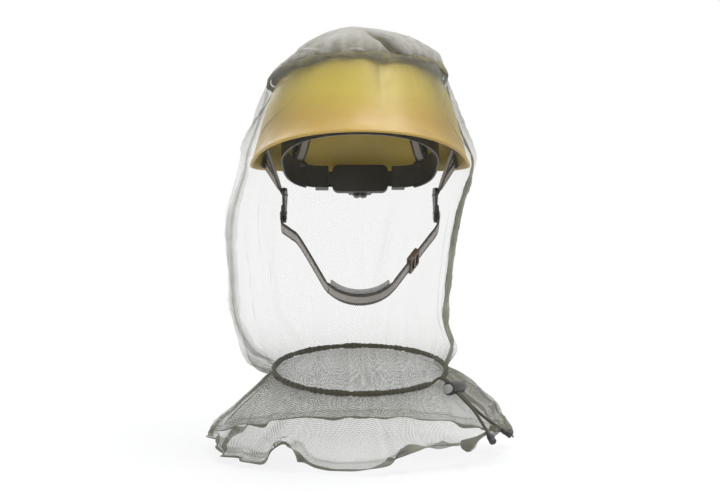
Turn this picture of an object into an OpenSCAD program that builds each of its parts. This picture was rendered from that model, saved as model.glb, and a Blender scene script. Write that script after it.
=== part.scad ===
// Beekeeping veil worn over a helmet: netting with a cloth crown, a drawn neck and a shoulder skirt,
// held out by a peaked helmet with its harness and chin strap.
// Origin: centre of the head, level with the temples. +Z up, the wearer faces -Y, +X is the wearer's left.

/* [Helmet shell] */
// Half width of the dome at its rim
dome_half_w = 101; // [99:1:103]
// Half length of the dome at its rim
dome_half_l = 119; // [117:1:121]
// Height of the dome's top above the origin
dome_top = 125; // [124:0.5:126]
// Wall of the shell
shell_wall = 2.6; // [2.2:0.2:3]
// Flare of the rim at the sides and the back
rim_flare = 8; // [6:1:9]
// Reach of the peak past the dome
peak_reach = 32; // [28:1:33]
// Height of the rounded ridge along the top
ridge_h = 3; // [0:0.5:3.5]

/* [Headband] */
// Half width of the head inside the headband
head_half_w = 77; // [76:0.5:78]
// Half length of the head inside the headband
head_half_l = 95; // [94:0.5:95.5]
// Height of the headband
band_h = 28; // [26:1:30]
// Wall of the headband
band_t = 1.8; // [1.4:0.2:2]
// Lean of the headband, nape down
band_lean = 13; // [12:0.5:14]

/* [Ratchet] */
// Radius of the knob
knob_r = 18; // [15:0.5:19]

/* [Chin strap] */
// Width of the chin webbing
web_w = 15; // [13:1:15]
// Thickness of the chin webbing
web_t = 1.6; // [1.2:0.2:1.6]
// Reach of the strap from its pivots to under the chin
chin_reach = 105; // [100:1:108]
// Radius of the strap's round under the chin
chin_r = 39; // [37:1:40]

/* [Veil] */
// Thickness of the netting's and the cloth's solids
net_t = 1.2; // [1:0.1:1.4]
// Width of the tape over a side seam
seam_w = 7; // [5:1:9]

/* [Neck] */
// Radius of the neck ring
neck_r = 86; // [85:1:87]
// Height of the neck ring's centre
neck_z = -208; // [-209:1:-207]
// Lean of the neck ring, front down
neck_lean = 10.5; // [10:0.5:12]
// Outer radius of the tunnel round the neck
casing_r = 3.3; // [3.1:0.1:3.5]
// Radius of the drawcord
cord_r = 1.5; // [1.4:0.1:1.5]

/* [Hidden] */
$fn = 48;

cloth_grey = "#8f8c7c";
binding_olive = "#4b4a38";
net_green = "#7d8276";
shell_yellow = "#e3b52c";
plastic_black = "#2c2b2a";
webbing_grey = "#4f4a45";
steel = "#b9bcc0";

// Small play between parts that move on each other
play = 0.2;
// How deep a sewn edge goes into its neighbour
sewn = 0.3;

// ---- Shared shapes ----

function unit(v) = v / norm(v);

// Value k of the way from p to q, eased by their neighbours o and r
function eased(o, p, q, r, k) =
    p + k * ((q - o) / 2 + k * (o - 2.5 * p + 2 * q - r / 2 + k * (-o / 2 + 1.5 * p - 1.5 * q + r / 2)));

// Normal of the surface f(angle, row), outwards when angle runs anticlockwise and row runs up
function normal_of(f, a, s) =
    unit(cross(f(a + 0.4, s) - f(a - 0.4, s), f(a, s + 0.01) - f(a, s - 0.01)));

// Grid of points on the surface f, moved inwards by depth
function grid(f, angles, rows, depth) =
    [for (s = rows) [for (a = angles) f(a, s) - depth * normal_of(f, a, s)]];

// Solid between two grids of the same size. ring joins the last column to the first, and tops is
// empty or holds the outer and the inner point that close the last row.
module grid_solid(outer, inner, ring = false, tops = []) {
    rows = len(outer);
    cols = len(outer[0]);
    total = rows * cols;
    last = ring ? cols - 1 : cols - 2;
    points = concat([for (row = outer) each row], [for (row = inner) each row], tops);
    function id(i, j) = i * cols + j % cols;
    walls = [for (i = [0 : rows - 2]) for (j = [0 : last])
        let (a = id(i, j), b = id(i, j + 1), c = id(i + 1, j + 1), d = id(i + 1, j))
        each [[a, d, c], [a, c, b],
              [a + total, b + total, c + total], [a + total, c + total, d + total]]];
    lower = [for (j = [0 : last])
        let (a = id(0, j), b = id(0, j + 1))
        each [[a, b, b + total], [a, b + total, a + total]]];
    upper = [for (j = [0 : last])
        let (d = id(rows - 1, j), c = id(rows - 1, j + 1))
        each (tops == []
            ? [[c, d, d + total], [c, d + total, c + total]]
            : [[d, 2 * total, c], [c + total, 2 * total + 1, d + total]])];
    sides = ring ? [] : [for (i = [0 : rows - 2])
        let (a = id(i, 0), d = id(i + 1, 0), b = id(i, cols - 1), c = id(i + 1, cols - 1))
        each [[d, a, a + total], [d, a + total, d + total],
              [b, c, c + total], [b, c + total, b + total]]];
    polyhedron(points, concat(walls, lower, upper, sides), convexity = 8);
}

// Round tube along a route
module tube(route, r, sides = 8) {
    n = len(route);
    function heading(i) = unit(route[min(i + 1, n - 1)] - route[max(i - 1, 0)]);
    function level(u, h) = unit(u - (u * h) * h);
    first = level(abs(heading(0)[2]) > 0.9 ? [1, 0, 0] : [0, 0, 1], heading(0));
    across = [for (i = 0, u = first; i < n; i = i + 1, u = level(u, heading(min(i, n - 1)))) u];
    points = [for (i = [0 : n - 1]) for (k = [0 : sides - 1])
        let (a = 360 * k / sides, u = across[i], v = cross(heading(i), u))
        route[i] + r * (cos(a) * u + sin(a) * v)];
    function id(i, k) = i * sides + k % sides;
    skin = [for (i = [0 : n - 2]) for (k = [0 : sides - 1])
        each [[id(i, k), id(i + 1, k), id(i + 1, k + 1)], [id(i, k), id(i + 1, k + 1), id(i, k + 1)]]];
    ends = [[for (k = [0 : sides - 1]) id(0, k)], [for (k = [sides - 1 : -1 : 0]) id(n - 1, k)]];
    polyhedron(points, concat(skin, ends), convexity = 6);
}

// Flat shape of even width t along an open path
module band_2d(path, t) {
    n = len(path);
    function side(i) =
        let (h = unit(path[min(i + 1, n - 1)] - path[max(i - 1, 0)])) [h[1], -h[0]];
    polygon(concat(
        [for (i = [0 : n - 1]) path[i] + side(i) * t / 2],
        [for (i = [n - 1 : -1 : 0]) path[i] - side(i) * t / 2]));
}

// Flat shape with round corners of radius r at the points, which run anticlockwise
module rounded_2d(points, r) {
    n = len(points);
    polygon([for (i = [0 : n - 1])
        let (p = points[i], q = points[(i + 1) % n], h = unit(q - p), out = [h[1], -h[0]] * r)
        each [p + out, q + out]]);
    for (p = points) translate(p) circle(r);
}

// Children with +Z from p towards q and +X as near face_dir as it can be
module along(p, q, face_dir = [1, 0, 0]) {
    run = unit(q - p);
    face = unit(face_dir - (face_dir * run) * run);
    wide = cross(run, face);
    multmatrix([
        [face[0], wide[0], run[0], p[0]],
        [face[1], wide[1], run[1], p[1]],
        [face[2], wide[2], run[2], p[2]],
        [0, 0, 0, 1]])
        children();
}

// Straight webbing from p to q, with its flat side towards face_dir
module strip(p, q, w, t, face_dir = [1, 0, 0]) {
    along(p, q, face_dir) translate([-t / 2, -w / 2, 0]) cube([t, w, norm(q - p)]);
}

module mirrored(yes) {
    mirror([yes ? 1 : 0, 0, 0]) children();
}

// ---- Helmet shell ----

rim_side_z = -8;
rim_front_z = 14;
rim_back_z = -4;
// How round the dome is: 1 is an ellipse, less is fuller
dome_power = 0.92;
// Share of the dome's arc that the flare takes
flare_share = 0.3;
flare_power = 3;
ridge_half_w = 15;

function front_share(a) = max(0, -sin(a));
function back_share(a) = max(0, sin(a));
function rim_z(a) = rim_side_z + (rim_front_z - rim_side_z) * pow(front_share(a), 2)
    + (rim_back_z - rim_side_z) * pow(back_share(a), 2);
function flare_at(a) = rim_flare + (peak_reach - rim_flare) * pow(front_share(a), 3);

// Point on the outside of the shell: u is 0 at the rim and 1 at the top
shell_pt = function (a, u)
    let (
        plan_r = 1 / sqrt(pow(cos(a) / dome_half_w, 2) + pow(sin(a) / dome_half_l, 2)),
        r = plan_r * pow(max(0, cos(90 * u)), dome_power)
            + flare_at(a) * pow(max(0, 1 - u / flare_share), flare_power),
        rise = u < 0 ? u : pow(sin(90 * u), dome_power),
        x = r * cos(a),
        ridge = ridge_h * exp(-pow(x / ridge_half_w, 2)) * min(1, max(0, (u - 0.25) / 0.3)))
    [x, r * sin(a), rim_z(a) + (dome_top - rim_z(a)) * rise + ridge];

// The frame at a place on the shell: level axis, axis up the shell, outward axis
function shell_axes(a, u) =
    let (out = normal_of(shell_pt, a, u), level = unit(cross([0, 0, 1], out)))
    [level, cross(out, level), out];

// Point dy up the shell and dz out of it from the place a, u
function by_shell(a, u, dy, dz) =
    let (axes = shell_axes(a, u)) shell_pt(a, u) + axes[1] * dy + axes[2] * dz;

// Children in the frame at a place on the shell
module at_shell(a, u) {
    axes = shell_axes(a, u);
    p = shell_pt(a, u);
    multmatrix([
        [axes[0][0], axes[1][0], axes[2][0], p[0]],
        [axes[0][1], axes[1][1], axes[2][1], p[1]],
        [axes[0][2], axes[1][2], axes[2][2], p[2]],
        [0, 0, 0, 1]])
        children();
}

// Angle and place up the shell of each harness key: rear left, rear right, front right, front left
key_places = [[52, 0.16], [128, 0.16], [232, 0.25], [308, 0.25]];
key_w = 18;
key_t = 2.6;
key_depth = 7;
key_top = 5;
key_foot = 29;
// How far a key's foot reaches in to the headband: at the rear and at the front
key_reach = [8, 19.2];
socket_h = 14;

// Places of the chin strap's clips on the left of the shell: front and rear
clip_places = [[326, 0.07], [20, 0.05]];
stud_r = 2.6;

shell_angles = [for (i = [0 : 71]) i * 5];
shell_rows = [0, 0.03, 0.07, 0.12, 0.18, 0.24, 0.3, 0.38, 0.47, 0.56, 0.66, 0.76, 0.86, 0.95];

module helmet_shell() {
    color(shell_yellow) difference() {
        union() {
            grid_solid(
                grid(shell_pt, shell_angles, shell_rows, 0),
                grid(shell_pt, shell_angles, shell_rows, shell_wall),
                ring = true,
                tops = [[0, 0, dome_top + ridge_h], [0, 0, dome_top + ridge_h - shell_wall]]);
            for (k = key_places) at_shell(k[0], k[1])
                translate([-key_w / 2 - 3.5, -socket_h / 2, -key_depth - 3.4])
                    cube([key_w + 7, socket_h, key_depth + 2]);
            for (right = [false, true]) mirrored(right)
                for (k = clip_places) at_shell(k[0], k[1])
                    translate([0, 0, -8]) cylinder(r = stud_r, h = 7);
        }
        for (k = key_places) at_shell(k[0], k[1])
            translate([-key_w / 2 - play, -socket_h, -key_depth - key_t / 2])
                cube([key_w + 2 * play, socket_h + key_top + 0.5, key_t]);
    }
}

// ---- Harness ----

// How far below its place on the shell a key's webbing slot is
loop_y = -17;

module harness_key(i) {
    half = key_w / 2 - 2;
    color(plastic_black) at_shell(key_places[i][0], key_places[i][1])
        translate([0, 0, -key_depth]) {
            translate([0, 0, -key_t / 2]) linear_extrude(key_t) difference() {
                rounded_2d([[-half, 2 - key_foot], [half, 2 - key_foot],
                            [half, key_top - 2], [-half, key_top - 2]], 2);
                translate([-half - 0.2, loop_y - 1.6]) square([2 * half + 0.4, 3.2]);
                translate([-half - 0.2, loop_y - 8.4]) square([2 * half + 0.4, 3.2]);
            }
            reach = key_reach[i < 2 ? 0 : 1];
            translate([-5, -key_foot, -key_t / 2 - reach]) cube([10, 3.4, reach]);
        }
}

module harness_key_rear_left() harness_key(0);
module harness_key_rear_right() harness_key(1);
module harness_key_front_right() harness_key(2);
module harness_key_front_left() harness_key(3);

strap_top = 88;
strap_t = 1.2;
// The webbing's way round a key's bar, up the shell and out of it from the bar's slot
loop_route = [[0, -2.8], [0, 1.8], [-2.4, 2.3], [-5, 1.2], [-5, -1.9], [-2.6, -3.6],
              [2, -5.4], [9, -6.8], [22, -9]];

// Crown strap from key i to key j, with its middle at height top
module crown_strap(i, j, top) {
    az = key_places[i][0];
    function flat(p) = [p[0] * cos(az) + p[1] * sin(az), p[2]];
    function end_points(k) = [for (d = loop_route)
        flat(by_shell(key_places[k][0], key_places[k][1], loop_y + d[0], d[1] - key_depth))];
    start = end_points(i);
    finish = end_points(j);
    last = len(loop_route) - 1;
    function arc(p, steps) = [for (k = [1 : steps - 1])
        let (t = 90 * k / steps) [p[0] * pow(cos(t), 0.9), p[1] + (top - p[1]) * pow(sin(t), 0.9)]];
    half_a = arc(start[last], 9);
    half_b = arc(finish[last], 9);
    path = concat(start, half_a, [[0, top]],
        [for (k = [len(half_b) - 1 : -1 : 0]) half_b[k]],
        [for (k = [last : -1 : 0]) finish[k]]);
    color(webbing_grey) rotate([0, 0, az]) rotate([90, 0, 0])
        linear_extrude(key_w - 5, center = true) band_2d(path, strap_t);
}

module crown_strap_lower() crown_strap(0, 2, strap_top);
module crown_strap_upper() crown_strap(1, 3, strap_top + strap_t);

module crown_pad() {
    drop_r = 150;
    dome = [for (x = [0 : 4 : 28]) [x, strap_top - 2.5 - x * x / (2 * drop_r)]];
    color(plastic_black) rotate_extrude() intersection() {
        band_2d(concat([[-4, strap_top - 2.5]], dome), 4);
        translate([0, strap_top - 12]) square([40, 20]);
    }
}

module in_headband() {
    translate([0, 0, -5]) rotate([-band_lean, 0, 0]) children();
}

// Half angle of the headband's gap at the nape
rear_gap = 35;

// Outline of the headband: nearly an ellipse in front, flatter at the nape
function head_pt(a, grow) =
    let (p = sin(a) > 0 ? 3.2 : 2.2, w = head_half_w + grow, l = head_half_l + grow,
         r = pow(pow(abs(cos(a)) / w, p) + pow(abs(sin(a)) / l, p), -1 / p))
    [r * cos(a), r * sin(a)];

rack_t = 1.6;
// Middle of the left and of the right rack behind the head's centre
rack_y = [96.1, 98.1];
rack_h = 17;
// Height of the knob's axis in the headband's frame
axis_z = 14;
// Guides at the headband's ends, nearest and furthest from the middle
guide_x = [34, 48];
guide_play = 0.35;

// End of the headband on one side: its tongue and the guide that its rack runs in
module headband_end(y) {
    linear_extrude(band_h - 4) {
        band_2d([head_pt(90 - rear_gap, band_t / 2), [51, 86.8], [guide_x[0] + 1, 90.4]], 2.2);
        translate([guide_x[0], 88]) square([guide_x[1] - guide_x[0], y + 2.2 - 88]);
    }
}

module rack_slot(y) {
    translate([guide_x[0] - 1, y - rack_t / 2 - guide_play, axis_z - rack_h / 2 - guide_play])
        cube([guide_x[1] - guide_x[0] + 2, rack_t + 2 * guide_play, rack_h + 2 * guide_play]);
}

module headband() {
    steps = 58;
    band = [for (k = [0 : steps])
        head_pt(90 + rear_gap + (360 - 2 * rear_gap) * k / steps, band_t / 2)];
    color(plastic_black) in_headband() difference() {
        union() {
            linear_extrude(band_h) band_2d(band, band_t);
            translate([0, 0, 2]) headband_end(rack_y[0]);
            translate([0, 0, 2]) mirror([1, 0, 0]) headband_end(rack_y[1]);
        }
        rack_slot(rack_y[0]);
        mirror([1, 0, 0]) rack_slot(rack_y[1]);
        for (a = [205 : 13 : 335])
            translate([head_pt(a, 0)[0], head_pt(a, 0)[1], band_h - 7])
                rotate([0, 90, a]) cylinder(r = 2, h = 20, center = true);
    }
}

module sweatband() {
    pad = [for (k = [0 : 26]) head_pt(200 + 140 * k / 26, -1.2)];
    color("#6b5f57") in_headband() translate([0, 0, 1]) linear_extrude(band_h - 5) band_2d(pad, 2.6);
}

// ---- Ratchet at the nape ----

pinion_teeth = 8;
tooth_module = 1;
pitch_r = tooth_module * pinion_teeth / 2;
tooth_pitch = PI * tooth_module;
rack_near_x = -19;
rack_far_x = 52;
shaft_r = 3;
journal_r = 1.95;
screw_r = 1.2;
fit = 0.06;
base_half_w = 30;
base_half_h = 15;
cover_y = 101.2;
knob_y = 112;

// Children in the ratchet's frame: the knob's axis runs along +Y through its origin
module in_ratchet() {
    in_headband() translate([0, 0, axis_z]) children();
}

// Children drawn in the ratchet's X-Z plane and pulled out from y0 to y1
module pulled(y0, y1) {
    translate([0, y1, 0]) rotate([90, 0, 0]) linear_extrude(y1 - y0) children();
}

// Rack strip with its teeth on the lower edge of its window
module rack_2d() {
    tips = pitch_r - 0.85;
    roots = pitch_r + 1.2;
    difference() {
        translate([rack_near_x, -rack_h / 2]) square([rack_far_x - rack_near_x, rack_h]);
        translate([rack_near_x + 4, -roots]) square([33, roots + 5.5]);
    }
    for (k = [-4 : 4]) translate([(k + 0.5) * tooth_pitch, 0])
        polygon([[-0.98, -roots - 0.1], [0.98, -roots - 0.1], [0.3, -tips], [-0.3, -tips]]);
}

module rack_left() {
    color(plastic_black) in_ratchet()
        pulled(rack_y[0] - rack_t / 2, rack_y[0] + rack_t / 2) rack_2d();
}

module rack_right() {
    color(plastic_black) in_ratchet()
        pulled(rack_y[1] - rack_t / 2, rack_y[1] + rack_t / 2) rotate(180) rack_2d();
}

// Pinion outline: one tooth points straight up
module pinion_2d() {
    circle(pitch_r - 1.25);
    for (k = [0 : pinion_teeth - 1]) rotate(90 + 360 * k / pinion_teeth)
        polygon([[pitch_r - 1.6, -0.95], [pitch_r, -0.64], [pitch_r + 0.75, -0.3],
                 [pitch_r + 0.75, 0.3], [pitch_r, 0.64], [pitch_r - 1.6, 0.95]]);
}

module ratchet_pinion() {
    color("#d9d7d0") in_ratchet() difference() {
        union() {
            pulled(95.35, 98.85) pinion_2d();
            pulled(93.8, 95.5) circle(journal_r);
            pulled(98.8, 102.6) circle(shaft_r);
        }
        pulled(96, 103) circle(screw_r);
    }
}

// Rounded plate of the ratchet's housing
module housing_2d() {
    rounded_2d([[7 - base_half_w, 7 - base_half_h], [base_half_w - 7, 7 - base_half_h],
                [base_half_w - 7, base_half_h - 7], [7 - base_half_w, base_half_h - 7]], 7);
}

module ratchet_base() {
    color(plastic_black) in_ratchet() difference() {
        union() {
            pulled(93, 95) housing_2d();
            translate([-guide_x[0] - 1, 93, -6]) cube([2 * guide_x[0] + 2, 2, 12]);
        }
        pulled(93.4, 95.1) circle(journal_r + fit);
    }
}

module ratchet_cover() {
    color(plastic_black) in_ratchet() difference() {
        pulled(95, cover_y) housing_2d();
        translate([-base_half_w - 1, 94, -rack_h / 2 - 0.4])
            cube([2 * base_half_w + 2, 99.2 - 94, rack_h + 0.8]);
        pulled(99, cover_y + 0.1) circle(shaft_r + fit);
    }
}

module ratchet_knob() {
    color(plastic_black) in_ratchet() difference() {
        union() {
            pulled(cover_y + 0.3, knob_y) difference() {
                circle(knob_r);
                for (k = [0 : 11]) rotate(30 * k) translate([knob_r + 1.6, 0]) circle(3);
            }
            pulled(knob_y - 0.5, knob_y + 1.5) circle(knob_r - 6);
        }
        pulled(cover_y, 102.6) circle(shaft_r);
        pulled(102, knob_y + 2) circle(screw_r);
        pulled(knob_y - 2.4, knob_y + 2) circle(3.2);
    }
}

module ratchet_screw() {
    color(steel) in_ratchet() {
        pulled(96.4, knob_y - 2) circle(screw_r);
        difference() {
            pulled(knob_y - 2.4, knob_y) circle(2.9);
            translate([-2, knob_y - 1, -0.4]) cube([4, 2, 0.8]);
            translate([-0.4, knob_y - 1, -2]) cube([0.8, 2, 4]);
        }
    }
}

// ---- Chin strap ----

// The ear plate's points in the Y-Z plane: front slot, rear slot and pivot
ear_front = [-23, -36];
ear_rear = [3, -35];
pivot_yz = [-10, -56];
ear_x = 73.2;
ear_t = 2.6;
leg_w = 12;
leg_t = 1.4;
rivet_r = 2.5;
rivet_head_r = 4.4;

// Clip on a stud of the shell that holds the top of a leg
module leg_clip(i) {
    color(plastic_black) at_shell(clip_places[i][0], clip_places[i][1])
        translate([0, 0, -6.2]) linear_extrude(2.2) difference() {
            rounded_2d([[-5.5, -8], [5.5, -8], [5.5, 3], [-5.5, 3]], 2);
            circle(stud_r);
        }
}

module leg_clip_front_left() leg_clip(0);
module leg_clip_rear_left() leg_clip(1);
module leg_clip_front_right() mirrored(true) leg_clip(0);
module leg_clip_rear_right() mirrored(true) leg_clip(1);

// Leg of the strap from clip i to the ear plate's slot at foot
module leg(i, foot) {
    top = by_shell(clip_places[i][0], clip_places[i][1], -8, -5.1);
    low = [ear_x + ear_t + leg_t / 2 - 0.1, foot[0], foot[1]];
    color(webbing_grey) {
        strip(low, top, leg_w, leg_t);
        translate([ear_x - 1.5, foot[0] - leg_w / 2, foot[1] - leg_t / 2])
            cube([1.5 + ear_t + leg_t / 2, leg_w, leg_t]);
    }
}

module front_leg_left() leg(0, ear_front);
module rear_leg_left() leg(1, ear_rear);
module front_leg_right() mirrored(true) leg(0, ear_front);
module rear_leg_right() mirrored(true) leg(1, ear_rear);

module ear_plate() {
    color(plastic_black) translate([ear_x, 0, 0]) rotate([90, 0, 90]) linear_extrude(ear_t)
        difference() {
            rounded_2d([pivot_yz, ear_rear + [4, 0], ear_front + [-4, 0]], 7);
            for (slot = [ear_front, ear_rear])
                translate(slot) square([leg_w + 0.4, leg_t + 0.2], center = true);
            translate(pivot_yz) circle(rivet_r);
            translate((ear_front + ear_rear) / 2 + [0, -6]) circle(2.5);
        }
}

module ear_plate_left() ear_plate();
module ear_plate_right() mirrored(true) ear_plate();

// Rivet through the ear plate and the strap's end piece
module pivot_rivet() {
    outer_head_x = ear_x + ear_t + 2.6;
    color(steel) translate([0, pivot_yz[0], pivot_yz[1]]) rotate([0, 90, 0]) {
        translate([0, 0, ear_x - 1]) cylinder(r = rivet_head_r, h = 1);
        translate([0, 0, ear_x - 1]) cylinder(r = rivet_r, h = outer_head_x - ear_x + 1.5);
        translate([0, 0, outer_head_x]) cylinder(r = rivet_head_r, h = 1);
    }
}

module pivot_rivet_left() pivot_rivet();
module pivot_rivet_right() mirrored(true) pivot_rivet();

// How far the strap's plane dips below straight back
strap_dip = -130;

// Children in the strap's plane: X across, Y along the strap towards the chin
module in_strap() {
    translate([0, pivot_yz[0], pivot_yz[1]]) rotate([strap_dip, 0, 0]) children();
}

end_x = ear_x + ear_t + 1.3;
knee = [66, 34];
chin_c = [0, chin_reach - chin_r];
touch_a = atan2(knee[1] - chin_c[1], knee[0] - chin_c[0]) + acos(chin_r / norm(knee - chin_c));
touch = chin_c + chin_r * [cos(touch_a), sin(touch_a)];

// The strap from its left end to the middle under the chin
half_strap = concat([[end_x, 8], [76.4, 15.5], [73, 23], knee], [for (k = [0 : 8])
    chin_c + chin_r * [cos(touch_a + (90 - touch_a) * k / 8), sin(touch_a + (90 - touch_a) * k / 8)]]);
// The right side runs straighter, from its bend to the round under the chin
right_bend = [[67.5, 24], [58, 35.5]];

module strap_end() {
    color(plastic_black) in_strap() difference() {
        translate([end_x - 1, -8, -web_w / 2]) cube([2, 20, web_w]);
        translate([end_x - 2, 0, 0]) rotate([0, 90, 0]) cylinder(r = rivet_r + fit, h = 4);
    }
}

module strap_end_left() strap_end();
module strap_end_right() mirrored(true) strap_end();

module chin_webbing() {
    right = concat([half_strap[0], half_strap[1]], right_bend,
        [for (k = [4 : len(half_strap) - 2]) half_strap[k]]);
    path = concat(half_strap, [for (k = [len(right) - 1 : -1 : 0]) [-right[k][0], right[k][1]]]);
    color(webbing_grey) in_strap() linear_extrude(web_w, center = true) band_2d(path, web_t);
}

module chin_rest() {
    pad_t = 3.4;
    pad_r = chin_r - web_t / 2 - pad_t / 2 + 0.1;
    path = [for (a = [42 : 8 : 138]) chin_c + pad_r * [cos(a), sin(a)]];
    color("#77726b") in_strap() linear_extrude(web_w + 9, center = true) band_2d(path, pad_t);
}

// Slide that takes up the strap, on its left straight part
adjuster_at = 0.46;

module strap_adjuster() {
    run = touch - knee;
    mid = knee + run * adjuster_at;
    color("#4a3a2c") in_strap() translate([mid[0], mid[1], 0]) rotate([0, 0, atan2(run[1], run[0])])
        difference() {
            translate([-8, -2.7, -web_w / 2 - 3]) cube([16, 5.4, web_w + 6]);
            translate([-9, -web_t / 2 - 0.35, -web_w / 2 - 0.35])
                cube([18, web_t + 0.7, web_w + 0.7]);
            for (x = [-5.4, 1.6]) translate([x, -3, -web_w / 2 + 0.5]) cube([3.8, 3, web_w - 1]);
        }
}

// ---- Veil ----

function ring_pt(a) =
    [neck_r * cos(a), neck_r * cos(neck_lean) * sin(a), neck_z + neck_r * sin(neck_lean) * sin(a)];

// Outline of the veil at one height: how far it goes left, right, forwards and back, and its heights
// at the left, right, front and back
function neck_outline(up) =
    let (l = neck_r * cos(neck_lean), z = neck_z + up, dz = neck_r * sin(neck_lean))
    [neck_r, neck_r, l, l, z, z, z - dz, z + dz];

// From the neck up to the crown
net_outlines = [
    neck_outline(casing_r - sewn),
    [87, 124, 112, 100, -160, -166, -172, -150],
    [92, 130, 132, 115, -110, -110, -110, -110],
    [99, 130, 146, 124, -60, -60, -60, -60],
    [113, 117, 157, 132, -14, -14, 8, -10],
    [113, 113, 154, 132, 8, 8, 22, 10],
    [101, 101, 130, 120, 46, 44, 52, 45],
    [88, 92, 101, 101, 84, 75, 86, 80]
];
// From the hem up to the neck
skirt_outlines = [
    [148, 146, 138, 128, -280, -280, -290, -278],
    [146, 143, 136, 126, -268, -268, -277, -264],
    [125, 125, 116, 108, -246, -248, -262, -232],
    neck_outline(sewn - casing_r)
];

// Point at angle a and place s on the cloth that runs through a list of outlines
function cloth_pt(outlines, a, s) =
    let (n = len(outlines), i = max(0, min(n - 2, floor(s))),
         o = eased(outlines[max(0, i - 1)], outlines[i], outlines[i + 1],
                   outlines[min(n - 1, i + 2)], s - i),
         side = cos(a) > 0 ? 0 : 1,
         face = sin(a) > 0 ? 1 : 0,
         lean = pow(abs(sin(a)), min(2, 1 + min(s, abs(n - 1 - s)) / 2)))
    [o[side] * cos(a), o[2 + face] * sin(a), o[4 + side] + (o[6 + face] - o[4 + side]) * lean];

net_pt = function (a, s) cloth_pt(net_outlines, a, s);
net_top = len(net_outlines) - 1;
net_rows = [for (k = [0 : 2 * net_top]) k / 2];

module net_front() {
    angles = [180 : 9 : 360];
    color(net_green, 0.5)
        grid_solid(grid(net_pt, angles, net_rows, 0), grid(net_pt, angles, net_rows, net_t));
}

module net_back() {
    angles = [0 : 9 : 180];
    color(net_green, 0.5)
        grid_solid(grid(net_pt, angles, net_rows, 0), grid(net_pt, angles, net_rows, net_t));
}

module side_seam(a) {
    half = seam_w / 2 * 0.57;
    angles = [a - half, a, a + half];
    rows = [for (k = [0 : 2 * net_top - 1]) k / 2 + 0.1];
    color(binding_olive)
        grid_solid(grid(net_pt, angles, rows, sewn - 0.9), grid(net_pt, angles, rows, sewn));
}

module side_seam_left() side_seam(0);
module side_seam_right() side_seam(180);

// Crown cloth: from the seam at 0 over to the top at 1
crown_top = dome_top + ridge_h + net_t - 0.05;
crown_pt = function (a, s)
    let (seam = net_pt(a, net_top), top = crown_top)
    [seam[0] * cos(90 * s), seam[1] * cos(90 * s), seam[2] + (top - seam[2]) * sin(90 * s)];

ring_angles = [0 : 9 : 351];

module crown_cap() {
    rows = [0, 0.1, 0.2, 0.3, 0.4, 0.5, 0.6, 0.7, 0.8, 0.9, 0.96];
    color(cloth_grey) grid_solid(
        grid(crown_pt, ring_angles, rows, 0), grid(crown_pt, ring_angles, rows, net_t),
        ring = true, tops = [[0, 0, crown_top], [0, 0, crown_top - net_t]]);
}

// Band over the crown's seam: half on the net, half on the crown cloth
crown_band_pt = function (a, s)
    s < 0 ? net_pt(a, net_top + s * 0.2) : crown_pt(a, s * 0.05);

module crown_binding() {
    rows = [-1, 0, 1];
    color(binding_olive) grid_solid(
        grid(crown_band_pt, ring_angles, rows, sewn - 1), grid(crown_band_pt, ring_angles, rows, sewn),
        ring = true);
}

// How much the hem rises at angle a: a notch in front on the right and a lift on the left
function hem_lift(a) = 26 * exp(-pow((a - 242) / 7, 2)) + 20 * exp(-pow((a - 296) / 18, 2))
    + 24 * exp(-pow((a - 332) / 22, 2));

skirt_pt = function (a, s)
    let (turn = (a + 360) % 360, p = cloth_pt(skirt_outlines, a, s), low = max(0, 1 - s / 3),
         wave = 1 + 0.018 * low * sin(11 * turn))
    [p[0] * wave, p[1] * wave, p[2] + hem_lift(turn) * pow(low, 2)];

skirt_angles = [0 : 5 : 355];
skirt_rows = [0, 0.35, 0.7, 1, 1.3, 1.6, 2, 2.5, 3];

module shoulder_skirt() {
    color(net_green, 0.6) grid_solid(
        grid(skirt_pt, skirt_angles, skirt_rows, 0), grid(skirt_pt, skirt_angles, skirt_rows, net_t),
        ring = true);
}

module hem_binding() {
    rows = [0, 0.35];
    color(binding_olive) grid_solid(
        grid(skirt_pt, skirt_angles, rows, sewn - 1), grid(skirt_pt, skirt_angles, rows, sewn),
        ring = true);
}

// ---- Neck tunnel, drawcord and cord lock ----

// Where the drawcord leaves the tunnel, and half the gap there
exit_a = 330;
exit_gap = 8;

module in_neck_ring() {
    translate([0, 0, neck_z]) rotate([neck_lean, 0, 0]) children();
}

module neck_casing() {
    color(binding_olive) in_neck_ring() rotate([0, 0, exit_a + exit_gap])
        rotate_extrude(angle = 360 - 2 * exit_gap, $fn = 120) translate([neck_r, 0]) difference() {
            circle(casing_r, $fn = 20);
            circle(cord_r - 0.05, $fn = 20);
        }
}

// Children in the frame of the drawcord's exit: X away from the neck, Y round it, Z up
module at_exit() {
    rotate([0, 0, exit_a]) children();
}

function from_exit(p) =
    [p[0] * cos(exit_a) - p[1] * sin(exit_a), p[0] * sin(exit_a) + p[1] * cos(exit_a), p[2]];

// The drawcord's straight part starts here in the exit's frame, and falls at this angle
cord_start = [92, -212.4];
cord_fall = 41;
half_spacing = 1.8;
straight_l = 41;

function on_straight(side, t) =
    [cord_start[0] + t * cos(cord_fall), side * half_spacing, cord_start[1] - t * sin(cord_fall)];

// The bends out of the tunnel in the exit's frame, on its rear and on its front side
bend_rear = [[85.6, 9.6, -214.2], [87.4, 5.6, -213], [90, 3, -212.4], [93.2, 1.9, -213.6]];
bend_front = [[85.6, -9.6, -217.4], [87.4, -5.6, -214.8], [90, -3, -213], [93.2, -1.9, -213.6]];

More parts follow.
